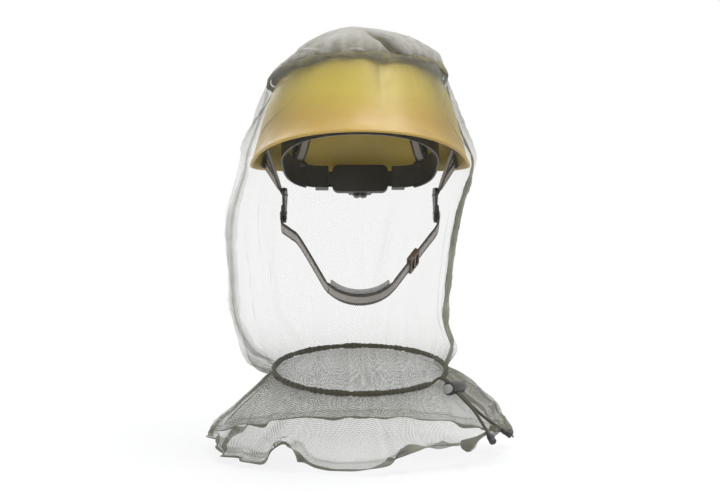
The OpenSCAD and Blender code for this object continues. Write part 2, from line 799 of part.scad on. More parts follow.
module neck_drawcord() {
    ring = [for (k = [0 : 44]) ring_pt(exit_a + exit_gap + (360 - 2 * exit_gap) * k / 44)];
    rear = [for (p = bend_rear) from_exit(p)];
    front = [for (p = bend_front) from_exit(p)];
    route = concat(
        [for (t = [straight_l, 26, 6]) from_exit(on_straight(1, t))],
        [for (k = [3 : -1 : 0]) rear[k]], ring, front,
        [for (t = [6, 26, straight_l]) from_exit(on_straight(-1, t))]);
    color(binding_olive) tube(route, cord_r);
}

// The tails' points in the exit's frame, from the end of the straight part to their end pieces
tail_rear_points = [[128.6, 2.2, -243.9], [134.4, 2.8, -248.2], [140.2, 3.6, -252.2],
                    [146, 4.6, -255.8], [150, 5.4, -258.2]];
tail_front_points = [[128.2, -3.2, -244.2], [133.2, -5.6, -249], [138, -8.4, -253.6],
                     [142.6, -11.4, -257.8], [145.6, -13.6, -260.6]];

module tail(side, points) {
    color(binding_olive) tube(
        [for (p = concat([on_straight(side, straight_l)], points)) from_exit(p)], cord_r);
}

module drawcord_tail_rear() tail(1, tail_rear_points);
module drawcord_tail_front() tail(-1, tail_front_points);

cord_end_l = 12;
cord_end_r = 3.4;

// End piece over the last bit of a tail
module cord_end(points) {
    n = len(points);
    p = from_exit(points[n - 2]);
    q = from_exit(points[n - 1]);
    color(plastic_black) along(p, q) translate([0, 0, norm(q - p)])
        cylinder(r = cord_end_r, h = cord_end_l);
}

module cord_end_rear() cord_end(tail_rear_points);
module cord_end_front() cord_end(tail_front_points);

lock_t = 14.5;
lock_r = 6.5;
// The barrel's mouth and its closed end along the lock's axis
lock_y = [-9, 15];
button_r = 4.3;
button_play = 0.3;
button_y = [-14, 5.5];
press = 4;
slot_r = cord_r + 0.35;

// Children in the cord lock's frame: X along the cords, Y along the button
module at_lock() {
    at_exit() translate([cord_start[0], 0, cord_start[1]]) rotate([0, cord_fall, 0])
        translate([lock_t, 0, 0]) children();
}

// Slot along the cords from y0 to y1
module cord_slot(y0, y1) {
    translate([-10, 0, 0]) rotate([90, 0, 90]) linear_extrude(20) {
        translate([y0, -slot_r]) square([y1 - y0, 2 * slot_r]);
        translate([y0, 0]) circle(slot_r);
        translate([y1, 0]) circle(slot_r);
    }
}

module cord_lock_barrel() {
    color(plastic_black) at_lock() difference() {
        translate([0, lock_y[1], 0]) rotate([90, 0, 0]) cylinder(r = lock_r, h = lock_y[1] - lock_y[0]);
        translate([0, lock_y[1] - 1.5, 0]) rotate([90, 0, 0])
            cylinder(r = button_r + button_play, h = lock_y[1] - lock_y[0]);
        cord_slot(-half_spacing, half_spacing);
    }
}

module cord_lock_button() {
    color("#8a8a84") at_lock() difference() {
        translate([0, button_y[1], 0]) rotate([90, 0, 0])
            cylinder(r = button_r, h = button_y[1] - button_y[0]);
        cord_slot(-half_spacing - press, half_spacing);
    }
}

module cord_lock_spring() {
    turns = 5;
    coil_r = 2.8;
    from_y = button_y[1] + 0.45;
    to_y = lock_y[1] - 1.5 - 0.4;
    color(steel) at_lock() tube([for (k = [0 : 12 * turns])
        [coil_r * cos(30 * k), from_y + (to_y - from_y) * k / (12 * turns), coil_r * sin(30 * k)]],
        0.4, sides = 6);
}

crown_cap();
crown_binding();
net_front();
net_back();
side_seam_left();
side_seam_right();
neck_casing();
neck_drawcord();
drawcord_tail_front();
drawcord_tail_rear();
cord_end_front();
cord_end_rear();
cord_lock_barrel();
cord_lock_button();
cord_lock_spring();
shoulder_skirt();
hem_binding();
helmet_shell();
harness_key_rear_left();
harness_key_rear_right();
harness_key_front_right();
harness_key_front_left();
crown_strap_lower();
crown_strap_upper();
crown_pad();
headband();
sweatband();
ratchet_base();
ratchet_cover();
rack_left();
rack_right();
ratchet_pinion();
ratchet_knob();
ratchet_screw();
leg_clip_front_left();
leg_clip_rear_left();
leg_clip_front_right();
leg_clip_rear_right();
front_leg_left();
rear_leg_left();
front_leg_right();
rear_leg_right();
ear_plate_left();
ear_plate_right();
pivot_rivet_left();
pivot_rivet_right();
strap_end_left();
strap_end_right();
chin_webbing();
chin_rest();
strap_adjuster();
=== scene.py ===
"""Beekeeping veil over a peaked helmet: the finished look of the model, built round its frame."""

import math

import bmesh
import bpy
from bpy.props import FloatProperty, FloatVectorProperty, PointerProperty
from mathutils import Matrix, Vector, noise


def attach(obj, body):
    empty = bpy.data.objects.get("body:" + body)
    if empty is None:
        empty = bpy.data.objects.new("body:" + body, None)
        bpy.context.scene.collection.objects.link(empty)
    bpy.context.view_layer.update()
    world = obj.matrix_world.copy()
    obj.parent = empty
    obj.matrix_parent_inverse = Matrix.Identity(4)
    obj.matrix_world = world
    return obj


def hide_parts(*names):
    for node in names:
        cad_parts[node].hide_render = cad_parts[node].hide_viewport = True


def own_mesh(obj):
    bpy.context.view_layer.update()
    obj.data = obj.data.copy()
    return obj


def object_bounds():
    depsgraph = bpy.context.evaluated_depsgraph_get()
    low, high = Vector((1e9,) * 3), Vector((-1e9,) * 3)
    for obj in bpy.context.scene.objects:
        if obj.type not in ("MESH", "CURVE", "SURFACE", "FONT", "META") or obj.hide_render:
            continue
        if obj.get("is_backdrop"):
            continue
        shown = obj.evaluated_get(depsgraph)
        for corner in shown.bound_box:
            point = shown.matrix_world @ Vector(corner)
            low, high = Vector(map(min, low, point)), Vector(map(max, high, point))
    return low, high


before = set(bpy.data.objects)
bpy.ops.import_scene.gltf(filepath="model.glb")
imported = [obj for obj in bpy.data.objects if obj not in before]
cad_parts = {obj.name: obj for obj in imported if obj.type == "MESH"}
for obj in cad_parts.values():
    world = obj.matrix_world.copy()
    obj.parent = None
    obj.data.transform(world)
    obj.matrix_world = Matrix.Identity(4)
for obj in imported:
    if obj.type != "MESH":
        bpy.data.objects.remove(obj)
CAD_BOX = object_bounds()

bl_info = {
    "name": "Beekeeping Veil",
    "version": (1, 0, 0),
    "blender": (4, 5, 0),
    "location": "3D View > Sidebar > Veil",
    "description": "Builds a netting veil over a peaked helmet, with its harness and drawcord",
    "category": "Object",
}

# ---- Plans -------------------------------------------------------------------
# The plans below are in millimetres and degrees; MM turns a place into metres.

MM = 0.001
ROOT = "helmet_and_veil"
RIGHT = Vector((1, 0, 0))
UP = Vector((0, 0, 1))

DOME_HALF_W, DOME_HALF_L, DOME_TOP, SHELL_WALL = 101, 119, 125, 2.6
RIM_FLARE, PEAK_REACH, RIDGE_H, RIDGE_HALF_W = 8, 32, 3, 15
RIM_SIDE_Z, RIM_FRONT_Z, RIM_BACK_Z = -8, 14, -4
DOME_POWER, FLARE_SHARE, FLARE_POWER = 0.92, 0.3, 3

KEY_PLACES = [(52, 0.16), (128, 0.16), (232, 0.25), (308, 0.25)]
KEY_NODES = ["harness_key_rear_left", "harness_key_rear_right",
             "harness_key_front_right", "harness_key_front_left"]
KEY_W, KEY_DEPTH, LOOP_Y = 18, 7, -17
LOOP_ROUTE = [(0, -2.8), (0, 1.8), (-2.4, 2.3), (-5, 1.2), (-5, -1.9), (-2.6, -3.6),
              (2, -5.4), (9, -6.8), (22, -9)]
STRAP_TOP, STRAP_T = 88, 1.2
CLIP_PLACES = {"front": (326, 0.07), "rear": (20, 0.05)}
CLIP_FEET = {"front": (-23, -36), "rear": (3, -35)}

HEAD_HALF_W, HEAD_HALF_L, BAND_H, BAND_LEAN = 77, 95, 28, 13
EAR_FACE_X = 76.4
PIVOT = Vector((0, -10, -56))
STRAP_DIP = -130
WEB_W, WEB_T, CHIN_REACH, CHIN_R = 15, 1.6, 105, 39
END_X, KNEE = 77.1, (66, 34)
RIGHT_BEND = [(67.5, 24), (58, 35.5)]

NECK_R, NECK_Z, NECK_LEAN = 86, -208, 10.5
CASING_R, CORD_R, SEWN, NET_T = 3.3, 1.5, 0.3, 1.2
EXIT_A, EXIT_GAP = 330, 8
CORD_START, CORD_FALL, HALF_SPACING, STRAIGHT_L = (92, -212.4), 41, 1.8, 41
BEND_REAR = [(85.6, 9.6, -214.2), (87.4, 5.6, -213), (90, 3, -212.4), (93.2, 1.9, -213.6)]
BEND_FRONT = [(85.6, -9.6, -217.4), (87.4, -5.6, -214.8), (90, -3, -213), (93.2, -1.9, -213.6)]
TAILS = {
    "rear": (1, [(128.6, 2.2, -243.9), (134.4, 2.8, -248.2), (140.2, 3.6, -252.2),
                 (146, 4.6, -255.8), (150, 5.4, -258.2)]),
    "front": (-1, [(128.2, -3.2, -244.2), (133.2, -5.6, -249), (138, -8.4, -253.6),
                   (142.6, -11.4, -257.8), (145.6, -13.6, -260.6)]),
}
CORD_END_L, CORD_END_R = 12, 3.4
LOCK_T, SPRING_Y, SPRING_R, SPRING_TURNS, WIRE_R, BUTTON_TRAVEL = 14.5, (5.95, 13.1), 2.8, 5, 0.4, 4.05


def neck_outline(up):
    """How far the neck ring goes left, right, forwards and back, and its heights there."""
    reach = NECK_R * math.cos(math.radians(NECK_LEAN))
    dz = NECK_R * math.sin(math.radians(NECK_LEAN))
    z = NECK_Z + up
    return [NECK_R, NECK_R, reach, reach, z, z, z - dz, z + dz]


NET_OUTLINES = [
    neck_outline(CASING_R - SEWN),
    [87, 124, 112, 100, -160, -166, -172, -150],
    [92, 130, 132, 115, -110, -110, -110, -110],
    [99, 130, 146, 124, -60, -60, -60, -60],
    [113, 117, 157, 132, -14, -14, 8, -10],
    [113, 113, 154, 132, 8, 8, 22, 10],
    [101, 101, 130, 120, 46, 44, 52, 45],
    [88, 92, 97, 101, 84, 75, 91, 80],
]
NET_TOP = len(NET_OUTLINES) - 1
# How many rows of the netting are tucked into the neck tunnel.
TUCKED = 0.06
SKIRT_OUTLINES = [
    [148, 146, 138, 128, -280, -280, -290, -278],
    [146, 143, 136, 126, -268, -268, -277, -264],
    [125, 125, 116, 108, -246, -248, -262, -232],
    neck_outline(SEWN - CASING_R),
]
SKIRT_TOP = len(SKIRT_OUTLINES) - 1
# Where the skirt's hem rides up: height, direction and width in degrees.
HEM_LIFTS = [(26, 242, 7), (20, 296, 18), (24, 332, 22)]
# Where the crown's binding is knotted into bunches: direction and size.
KNOTS = [(186, 1.5), (238, 1.7), (283, 2.4), (336, 1.5), (20, 1.2)]


def turned(degrees):
    """Cosine and sine of an angle in degrees."""
    return math.cos(math.radians(degrees)), math.sin(math.radians(degrees))


def eased(o, p, q, r, k):
    """Value k of the way from p to q, eased by their neighbours o and r."""
    return p + k * ((q - o) / 2 + k * (o - 2.5 * p + 2 * q - r / 2
                                       + k * (-o / 2 + 1.5 * p - 1.5 * q + r / 2)))


def smooth_line(points, spacing):
    """Points about spacing apart on a smooth line through the given ones."""
    points = [Vector(p) for p in points]
    line = []
    for i in range(len(points) - 1):
        near = [points[max(0, i - 1)], points[i], points[i + 1], points[min(len(points) - 1, i + 2)]]
        steps = max(1, round((near[2] - near[1]).length / spacing))
        line += [eased(*near, k / steps) for k in range(steps)]
    return line + [points[-1]]


def peak(value, centre, width):
    """1 at the centre, falling away over width on both sides of it."""
    return math.exp(-((value - centre) / width) ** 2)


def bump(a, centre, width):
    """The same for a direction, in degrees."""
    return peak((a - centre + 180) % 360, 180, width)


def fall(distance, reach):
    """1 at no distance, and less by a factor e with each reach."""
    return math.exp(-max(0, distance) / reach)


def bell(value, start, end, soft):
    """Nearly 1 between start and end and nearly 0 outside, easing over soft."""
    return 1 / (1 + math.exp((start - value) / soft)) / (1 + math.exp((value - end) / soft))


def ridged(turn):
    """0 to 1 wave with sharp ridges and round hollows."""
    return 1 - abs(math.sin(turn / 2))


def wander(x, y, z=0.0):
    """Smooth noise between about -1 and 1."""
    return noise.noise(Vector((x, y, z)))


def ring_noise(a, scale, z=0.0):
    """Smooth noise that meets itself after a full turn."""
    cos_a, sin_a = turned(a)
    return wander(scale * cos_a, scale * sin_a, z)


# ---- Helmet surface ------------------------------------------------------------

def rim_height(sin_a):
    """Height of the helmet's rim in the direction with that sine."""
    front, back = max(0, -sin_a), max(0, sin_a)
    return RIM_SIDE_Z + (RIM_FRONT_Z - RIM_SIDE_Z) * front ** 2 + (RIM_BACK_Z - RIM_SIDE_Z) * back ** 2


def dome_share(p):
    """How far out a point is as a share of the helmet's dome: 1 is on its outside."""
    rim = rim_height(p.y / (math.hypot(p.x, p.y) or 1))
    ridge = RIDGE_H * peak(p.x, 0, RIDGE_HALF_W)
    power = 2 / DOME_POWER
    across = math.hypot(p.x / DOME_HALF_W, p.y / DOME_HALF_L)
    up = max(0, p.z - ridge - rim) / (DOME_TOP - rim)
    return (across ** power + up ** power) ** (1 / power)


def shell_point(a, u):
    """Point on the outside of the helmet: u is 0 at the rim and 1 at the top."""
    cos_a, sin_a = turned(a)
    cos_u, sin_u = turned(90 * u)
    rim = rim_height(sin_a)
    flare = RIM_FLARE + (PEAK_REACH - RIM_FLARE) * max(0, -sin_a) ** 3
    plan = 1 / math.hypot(cos_a / DOME_HALF_W, sin_a / DOME_HALF_L)
    r = plan * max(0, cos_u) ** DOME_POWER + flare * max(0, 1 - u / FLARE_SHARE) ** FLARE_POWER
    rise = u if u < 0 else sin_u ** DOME_POWER
    x = r * cos_a
    ridge = RIDGE_H * peak(x, 0, RIDGE_HALF_W) * min(1, max(0, (u - 0.25) / 0.3))
    return Vector((x, r * sin_a, rim + (DOME_TOP - rim) * rise + ridge))


def normal_of(surface, a, s):
    """Outward normal of a surface whose angle runs anticlockwise and whose row runs up."""
    round_it = surface(a + 0.4, s) - surface(a - 0.4, s)
    return round_it.cross(surface(a, s + 0.01) - surface(a, s - 0.01)).normalized()


def shell_axes(a, u):
    """Level axis, axis up the shell and outward axis at a place on the helmet."""
    out = normal_of(shell_point, a, u)
    level = UP.cross(out).normalized()
    return level, out.cross(level), out


def by_shell(a, u, dy, dz):
    """Point dy up the shell and dz out of it from a place on the helmet."""
    _, up, out = shell_axes(a, u)
    return shell_point(a, u) + up * dy + out * dz


def shell_place(a, u):
    """Matrix, in metres, of the frame at a place on the helmet."""
    axes = Matrix(shell_axes(a, u)).transposed().to_4x4()
    return Matrix.Translation(shell_point(a, u) * MM) @ axes


# ---- Cloth surfaces --------------------------------------------------------------

def cloth_point(outlines, a, s):
    """Point at angle a and row s on the cloth that runs through a list of outlines."""
    last = len(outlines) - 1
    i = max(0, min(last - 1, math.floor(s)))
    near = [outlines[max(0, i - 1)], outlines[i], outlines[i + 1], outlines[min(last, i + 2)]]
    o = [eased(*values, s - i) for values in zip(*near)]
    cos_a, sin_a = turned(a)
    side, face = (0 if cos_a > 0 else 1), (1 if sin_a > 0 else 0)
    lean = abs(sin_a) ** min(2, 1 + min(s, abs(last - s)) / 2)
    return Vector((o[side] * cos_a, o[2 + face] * sin_a,
                   o[4 + side] + (o[6 + face] - o[4 + side]) * lean))


def net_point(a, s):
    """Point on the plain netting: s is 0 at the neck tunnel and NET_TOP at the crown's seam."""
    return cloth_point(NET_OUTLINES, a, s)


def crown_point(a, s):
    """Point on the crown cloth: s is 0 at its seam and 1 at the top."""
    seam = net_point(a, NET_TOP)
    cos_s, sin_s = turned(90 * s)
    top = DOME_TOP + RIDGE_H + NET_T - 0.05
    return Vector((seam.x * cos_s, seam.y * cos_s, seam.z + (top - seam.z) * sin_s))


def skirt_point(a, s):
    """Point on the plain skirt: s is 0 at its hem, which is wavy and raised in some directions."""
    a %= 360
    p = cloth_point(SKIRT_OUTLINES, a, s)
    low = max(0, 1 - s / 3)
    wave = 1 + 0.018 * low * turned(11 * a)[1]
    lift = sum(height * peak(a, centre, width) for height, centre, width in HEM_LIFTS)
    return Vector((p.x * wave, p.y * wave, p.z + lift * low ** 2))


def net_fold(a, s):
    """How far the netting stands out of its plain form at a place."""
    folds = bpy.context.scene.veil_cloth
    turn = math.radians(a)
    drift = ring_noise(a, 1.3, 0.2 * s + 3)
    sewn = bump(a, 0, 7) + bump(a, 180, 7)
    tight = fall(s, 0.5) * (1 - fall(s, 0.07))
    gathers = tight * (ridged(52 * turn + 5 * ring_noise(a, 3, 0.5 * s)) - 0.3)
    strength = 0.4 + 0.9 * ring_noise(a, 3.4, 7) + 0.5 * (bump(a, 335, 20) + bump(a, 208, 20))
    folded = ridged(14 * turn + 5 * drift) ** 2.4 * max(0.15, strength)
    minor = ridged(33 * turn + 9 * drift) ** 3 * (0.3 + 0.4 * ring_noise(a, 5, 0.3 * s))
    drape = bell(s, 0.45, 3.5, 0.25) * (folded + minor - 0.3) * (1 - 0.8 * sewn)
    crown = fall(NET_TOP - s, 0.5) * ridged(34 * turn + 4 * ring_noise(a, 2, 9))
    aside = 0.35 + 0.65 * (bump(a, 322, 30) + bump(a, 218, 30))
    slack = bell(s, 4.3, 6.5, 0.25) * (1 - 0.8 * sewn)
    slack *= 0.2 + 1.9 * aside * ridged(17 * turn + 8 * ring_noise(a, 1.2, 0.5 * s)) ** 3
    streak = (6 * bump(a, 281, 2) * bell(s, 5.7, 7.2, 0.12)
              + 4 * bump(a, 300, 2.5) * bell(s, 5.2, 6.6, 0.2))
    left, right = 14 * bump(a, 0, 30) * (1 - 0.5 * sewn), 16 * bump(a, 184, 36) * (1 - 0.8 * sewn)
    sag = peak(s, 0.52, 0.3) * (left + right)
    sag += 6 * bump(a, 184, 30) * (1 - 0.9 * sewn) * bell(s, 2.0, 5.4, 0.4)
    ease = folds.gather_depth * gathers + folds.fold_depth * drape
    taut = 5 * bump(a, 0, 32) * bell(s, 5.2, 6.8, 0.2)
    return ease / MM + 1.2 * crown + 3 * slack + streak + sag - taut - 1.4 * sewn


def net_surface(a, s, proud=0.0):
    """The folded netting, proud millimetres out of its middle."""
    out = normal_of(net_point, a, min(NET_TOP, max(0, s)))
    return net_point(a, s) + out * (net_fold(a, s) + proud - NET_T / 2)


def crown_fold(a, s):
    """How far the slack crown cloth stands out of its plain form."""
    cos_a, sin_a = turned(a)
    turn = math.radians(a)
    x, y = cos_a * (1 - s), sin_a * (1 - s)
    gathers = fall(s, 0.3) * ridged(36 * turn + 5 * ring_noise(a, 2, 9)) ** 2
    soft = 0.9 * wander(1.5 * x, 2.2 * y, 2) - 0.3 + 0.5 * wander(3.6 * x, 4.4 * y, 4)
    shift = 0.8 * wander(1.4 * x, 1.4 * y, 5)
    line = abs(wander(1.5 * x + 2.2 * y + shift, 1.1 * y - 1.2 * x, 6))
    creases = 0.55 * max(0, 1 - 7 * line) ** 1.5 + 0.14 * wander(11 * x, 13 * y, 8)
    pleat = bump(a, 301 - 27 * s, 4) * bell(s, 0.0, 0.5, 0.04)
    hollow = bump(a, 294 - 27 * s, 3.6) * bell(s, 0.02, 0.6, 0.05)
    second = bump(a, 248 + 8 * s, 3) * bell(s, 0.0, 0.3, 0.05)
    depth = bpy.context.scene.veil_cloth.crown_slack / MM
    calm = 1 - 0.7 * bell(s, 0.7, 2, 0.07)
    tuck = 3.2 * fall(s, 0.1)
    sunk = 10.5 * peak(a, 182, 46) * bell(s, 0.17, 0.74, 0.06)
    out = 0.35 * gathers + 0.6 * soft + 0.5 * creases + 0.8 * pleat - 1.3 * hollow + 0.5 * second
    return depth * calm * min(1, s / 0.05 + 0.15) * out - sunk - tuck


def crown_surface(a, s, proud=0.0):
    """The folded crown cloth, which never sinks into the helmet."""
    out = UP if s > 0.985 else normal_of(crown_point, a, max(0.004, s))
    p = crown_point(a, s) + out * (crown_fold(a, s) + proud - NET_T / 2)
    return p + out * max(0, 1.01 - dome_share(p)) * DOME_HALF_L


def skirt_fold(a, s):
    """How far the gathered skirt stands out of its plain form."""
    turn = math.radians(a)
    down, free = max(0, 1 - s / SKIRT_TOP), SKIRT_TOP - s
    drift = ring_noise(a, 2, 11 + 0.3 * s)
    tight = fall(free, 1.1) * (1 - fall(free, 0.09)) * (1 + 0.7 * bump(a, 352, 16))
    gathers = tight * (ridged(44 * turn + 6 * drift) - 0.35)
    ruffles = (0.5 + 0.5 * math.cos(22 * turn + 5 * drift)) ** 1.3 - 0.42
    broad = math.sin(7 * turn + 4 * ring_noise(a, 1.5, 30))
    slack = bump(a, 215, 26) + 0.7 * bump(a, 352, 16)
    heap = 9 * bump(a, 7, 14) * bell(s, 1.5, 2.8, 0.12)
    cos_a, sin_a = turned(a)
    dents = abs(wander(4 * cos_a + s, 4 * sin_a, 1.3 * s))
    crumple = slack * bell(s, 0.2, 2.5, 0.25) * (0.5 - 2.4 * dents)
    cloth = bpy.context.scene.veil_cloth
    loose = 0.7 * down ** 0.8 * ruffles + 0.5 * down * broad + 0.7 * crumple
    return (cloth.gather_depth * gathers + cloth.ruffle_depth * loose) / MM + heap


def skirt_surface(a, s, proud=0.0):
    """The gathered skirt, proud millimetres out of its middle."""
    out = normal_of(skirt_point, a, min(SKIRT_TOP, max(0, s)))
    p = skirt_point(a, s) + out * (skirt_fold(a, s) + proud - NET_T / 2)
    p.z += 4 * (1 - s / SKIRT_TOP) ** 2 * (0.6 + ring_noise(a, 3, 40))
    return p


def neck_point(a):
    """Point on the drawcord's ring round the neck."""
    cos_a, sin_a = turned(a)
    cos_n, sin_n = turned(NECK_LEAN)
    return Vector((NECK_R * cos_a, NECK_R * cos_n * sin_a, NECK_Z + NECK_R * sin_n * sin_a))


def from_exit(p):
    """Turns a point in the frame of the drawcord's exit into the model's frame."""
    return Matrix.Rotation(math.radians(EXIT_A), 3, "Z") @ Vector(p)


def on_straight(side, t):
    """Point of the cord, on one side of the lock, t along its straight fall from the neck."""
    cos_f, sin_f = turned(CORD_FALL)
    return (CORD_START[0] + t * cos_f, side * HALF_SPACING, CORD_START[1] - t * sin_f)


def head_point(a, grow):
    """Outline of the headband, grow millimetres out of the head."""
    cos_a, sin_a = turned(a)
    p = 3.2 if sin_a > 0 else 2.2
    w, l = HEAD_HALF_W + grow, HEAD_HALF_L + grow
    r = ((abs(cos_a) / w) ** p + (abs(sin_a) / l) ** p) ** (-1 / p)
    return Vector((r * cos_a, r * sin_a, 0))


IN_HEADBAND = Matrix.Translation((0, 0, -5 * MM)) @ Matrix.Rotation(math.radians(-BAND_LEAN), 4, "X")
IN_STRAP = Matrix.Translation(PIVOT * MM) @ Matrix.Rotation(math.radians(STRAP_DIP), 4, "X")


# ---- Mesh tools --------------------------------------------------------------------

def new_piece(name, bm, look, node, body=ROOT, sharp_angle=None):
    """Turns a bmesh into a piece that wears a finish, rides on a body and stands for a node."""
    mesh = bpy.data.meshes.new(name)
    bm.to_mesh(mesh)
    bm.free()
    for face in mesh.polygons:
        face.use_smooth = True
    if sharp_angle is not None:
        mesh.set_sharp_from_angle(angle=math.radians(sharp_angle))
    piece = bpy.data.objects.new(name, mesh)
    bpy.context.scene.collection.objects.link(piece)
    material, slot = finish(look)
    mesh.materials.append(material)
    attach(piece, body)
    if node:
        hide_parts(node)
    return piece


def modify(piece, name, kind, **settings):
    """Adds a modifier with its settings."""
    made = piece.modifiers.new(name, kind)
    for key, value in settings.items():
        setattr(made, key, value)


def shaped_grid(surface, columns, rows, cloth=(1.0, 1.0), close_x=False, close_y=False, caps=False,
                plain=None, drawn=None, mark=None):
    """A grid whose point at share (x, y) goes where surface(x, y) says, in millimetres.
    Its UV map holds the flat cloth's metres, and close_x or close_y joins its opposite edges.
    plain is the surface without folds and drawn how tightly a point's cloth is drawn together:
    with them, each point says how much closer its threads lie than in the flat cloth.
    mark(x, y) is what each point says instead."""
    bm = bmesh.new()
    bmesh.ops.create_grid(bm, x_segments=columns, y_segments=rows, size=0.5)
    gathered = bm.verts.layers.float.new("gathered")
    shares = [(vert, vert.co.x + 0.5, vert.co.y + 0.5) for vert in bm.verts]
    layer = bm.loops.layers.uv.new("cloth")
    for face in bm.faces:
        for loop in face.loops:
            x, y, _ = loop.vert.co
            loop[layer].uv = ((x + 0.5) * cloth[0], (y + 0.5) * cloth[1])
    for vert, x, y in shares:
        vert.co = surface(x, y) * MM
    bm.normal_update()
    for vert, x, y in shares:
        slope = abs(vert.normal.dot(plain(x, y))) if plain else 1
        vert[gathered] = mark(x, y) if mark else (drawn(vert.co / MM) if drawn else 1) / max(0.22, slope)
    if close_x or close_y:
        bmesh.ops.remove_doubles(bm, verts=bm.verts, dist=2e-6)
    if caps:
        edges = [e for e in bm.edges if e.is_boundary]
        bmesh.ops.holes_fill(bm, edges=edges, sides=0)
    if close_x or close_y or caps:
        bmesh.ops.recalc_face_normals(bm, faces=bm.faces)
    return bm


def cord_tube(path, radius, sides=10, taper=None):
    """A round tube along a path in millimetres, with its cloth metres along and round it."""
    tangents = [(path[min(i + 1, len(path) - 1)] - path[max(i - 1, 0)]).normalized()
                for i in range(len(path))]
    across = [tangents[0].orthogonal().normalized()]
    for tangent in tangents[1:]:
        level = across[-1] - across[-1].dot(tangent) * tangent
        across.append(level.normalized())
    last = len(path) - 1

    def place(x, y):
        i = min(last, round(x * last))
        cos_y, sin_y = turned(360 * y)
        side = tangents[i].cross(across[i])
        r = radius * (taper(x) if taper else 1)
        return path[i] + r * (cos_y * across[i] + sin_y * side)

    length = sum((b - a).length for a, b in zip(path, path[1:]))
    cloth = (length * MM, 2 * math.pi * radius * MM)
    return shaped_grid(place, last, sides, cloth, close_y=True, caps=True), length


def ribbon(name, node, path, wide, width, thickness, look, body=ROOT, place=None):
    """Flat webbing along a path in millimetres, across the direction or directions in wide."""
    last = len(path) - 1
    length = sum((b - a).length for a, b in zip(path, path[1:]))

    def at(x, y):
        i = min(last, round(x * last))
        direction = wide[i] if isinstance(wide, list) else wide
        return path[i] + direction * width * (y - 0.5)

    bm = shaped_grid(at, last, 6, (length * MM, width * MM))
    if place is not None:
        bm.transform(place)
    bmesh.ops.recalc_face_normals(bm, faces=bm.faces)
    piece = new_piece(name, bm, look, node, body)
    modify(piece, "thickness", "SOLIDIFY", thickness=thickness * MM, offset=0)
    modify(piece, "woven edge", "BEVEL", width=thickness * 0.3 * MM, segments=2, limit_method="ANGLE",
           angle_limit=math.radians(50))


def lathe(profile, steps=32):
    """A bmesh of the profile's (radius, height) points, in millimetres, spun round Z."""
    bm = bmesh.new()
    verts = [bm.verts.new((r * MM, 0, z * MM)) for r, z in profile]
    edges = [bm.edges.new(pair) for pair in zip(verts, verts[1:])]
    bmesh.ops.spin(bm, geom=verts + edges, cent=(0, 0, 0), axis=(0, 0, 1),
                   angle=math.tau, steps=steps, use_merge=True)
    bmesh.ops.remove_doubles(bm, verts=bm.verts, dist=2e-6)
    bmesh.ops.recalc_face_normals(bm, faces=bm.faces)
    return bm


def moulded(node, look, width, body=ROOT):
    """A copy of a rigid node whose edges are rounded as a mould leaves them."""
    bm = bmesh.new()
    bm.from_mesh(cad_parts[node].data)
    bmesh.ops.remove_doubles(bm, verts=bm.verts, dist=1e-6)
    bmesh.ops.dissolve_limit(bm, angle_limit=math.radians(1), verts=bm.verts, edges=bm.edges)
    for layer in list(bm.loops.layers.uv):
        bm.loops.layers.uv.remove(layer)
    piece = new_piece("moulded_" + node, bm, look, node, body)
    modify(piece, "rounded edges", "BEVEL", width=width * MM, segments=2, limit_method="ANGLE",
           angle_limit=math.radians(40), harden_normals=True)
    return piece


def rounded_pad(along, columns, half_thick, half_high, seams):
    """A padded strip: along(x) gives its middle, its thick and its high axis at share x."""
    def place(x, y):
        middle, thick, high = along(x)
        cos_y, sin_y = turned(360 * y)
        end = min(1, (1 - abs(2 * x - 1)) * columns / 3 + 0.25) ** 0.5
        swell = 1 - 0.3 * seams(x)
        flat = math.copysign(abs(cos_y) ** 0.7, cos_y) * half_thick * swell
        tall = math.copysign(abs(sin_y) ** 0.45, sin_y) * half_high
        return middle + thick * flat * end + high * tall * (0.9 + 0.1 * end)

    return shaped_grid(place, columns, 28, close_y=True, caps=True)


# ---- Finishes ----------------------------------------------------------------------

class Wire:
    """A node's output that plain sums can use; each sum adds a Math node."""

    def __init__(self, finish, socket):
        self.finish, self.socket = finish, socket

    def math(self, operation, *values, clamp=False):
        settings = {"operation": operation, "use_clamp": clamp}
        return self.finish.node("ShaderNodeMath", settings, dict(enumerate(values)))

    def other(self, name):
        """Another output of the same node."""
        return Wire(self.finish, self.socket.node.outputs[name])

    def __add__(self, value):
        return self.math("ADD", self, value)

    def __radd__(self, value):
        return self.math("ADD", value, self)

    def __sub__(self, value):
        return self.math("SUBTRACT", self, value)

    def __rsub__(self, value):
        return self.math("SUBTRACT", value, self)

    def __mul__(self, value):
        return self.math("MULTIPLY", self, value)

    def __rmul__(self, value):
        return self.math("MULTIPLY", value, self)

    def __truediv__(self, value):
        return self.math("DIVIDE", self, value)

    def __abs__(self):
        return self.math("ABSOLUTE", self)

    def share(self):
        """What is left over after the whole numbers."""
        return self.math("FRACT", self)

    def wave(self):
        return self.math("SINE", self)

    def clamped(self):
        return self.math("ADD", self, 0.0, clamp=True)

    def larger(self, value):
        return self.math("MAXIMUM", self, value)

    def smaller(self, value):
        return self.math("MINIMUM", self, value)

    def stepped(self, low, high):
        """0 below low and 1 above high, straight between."""
        return self.math("DIVIDE", self - low, high - low, clamp=True)


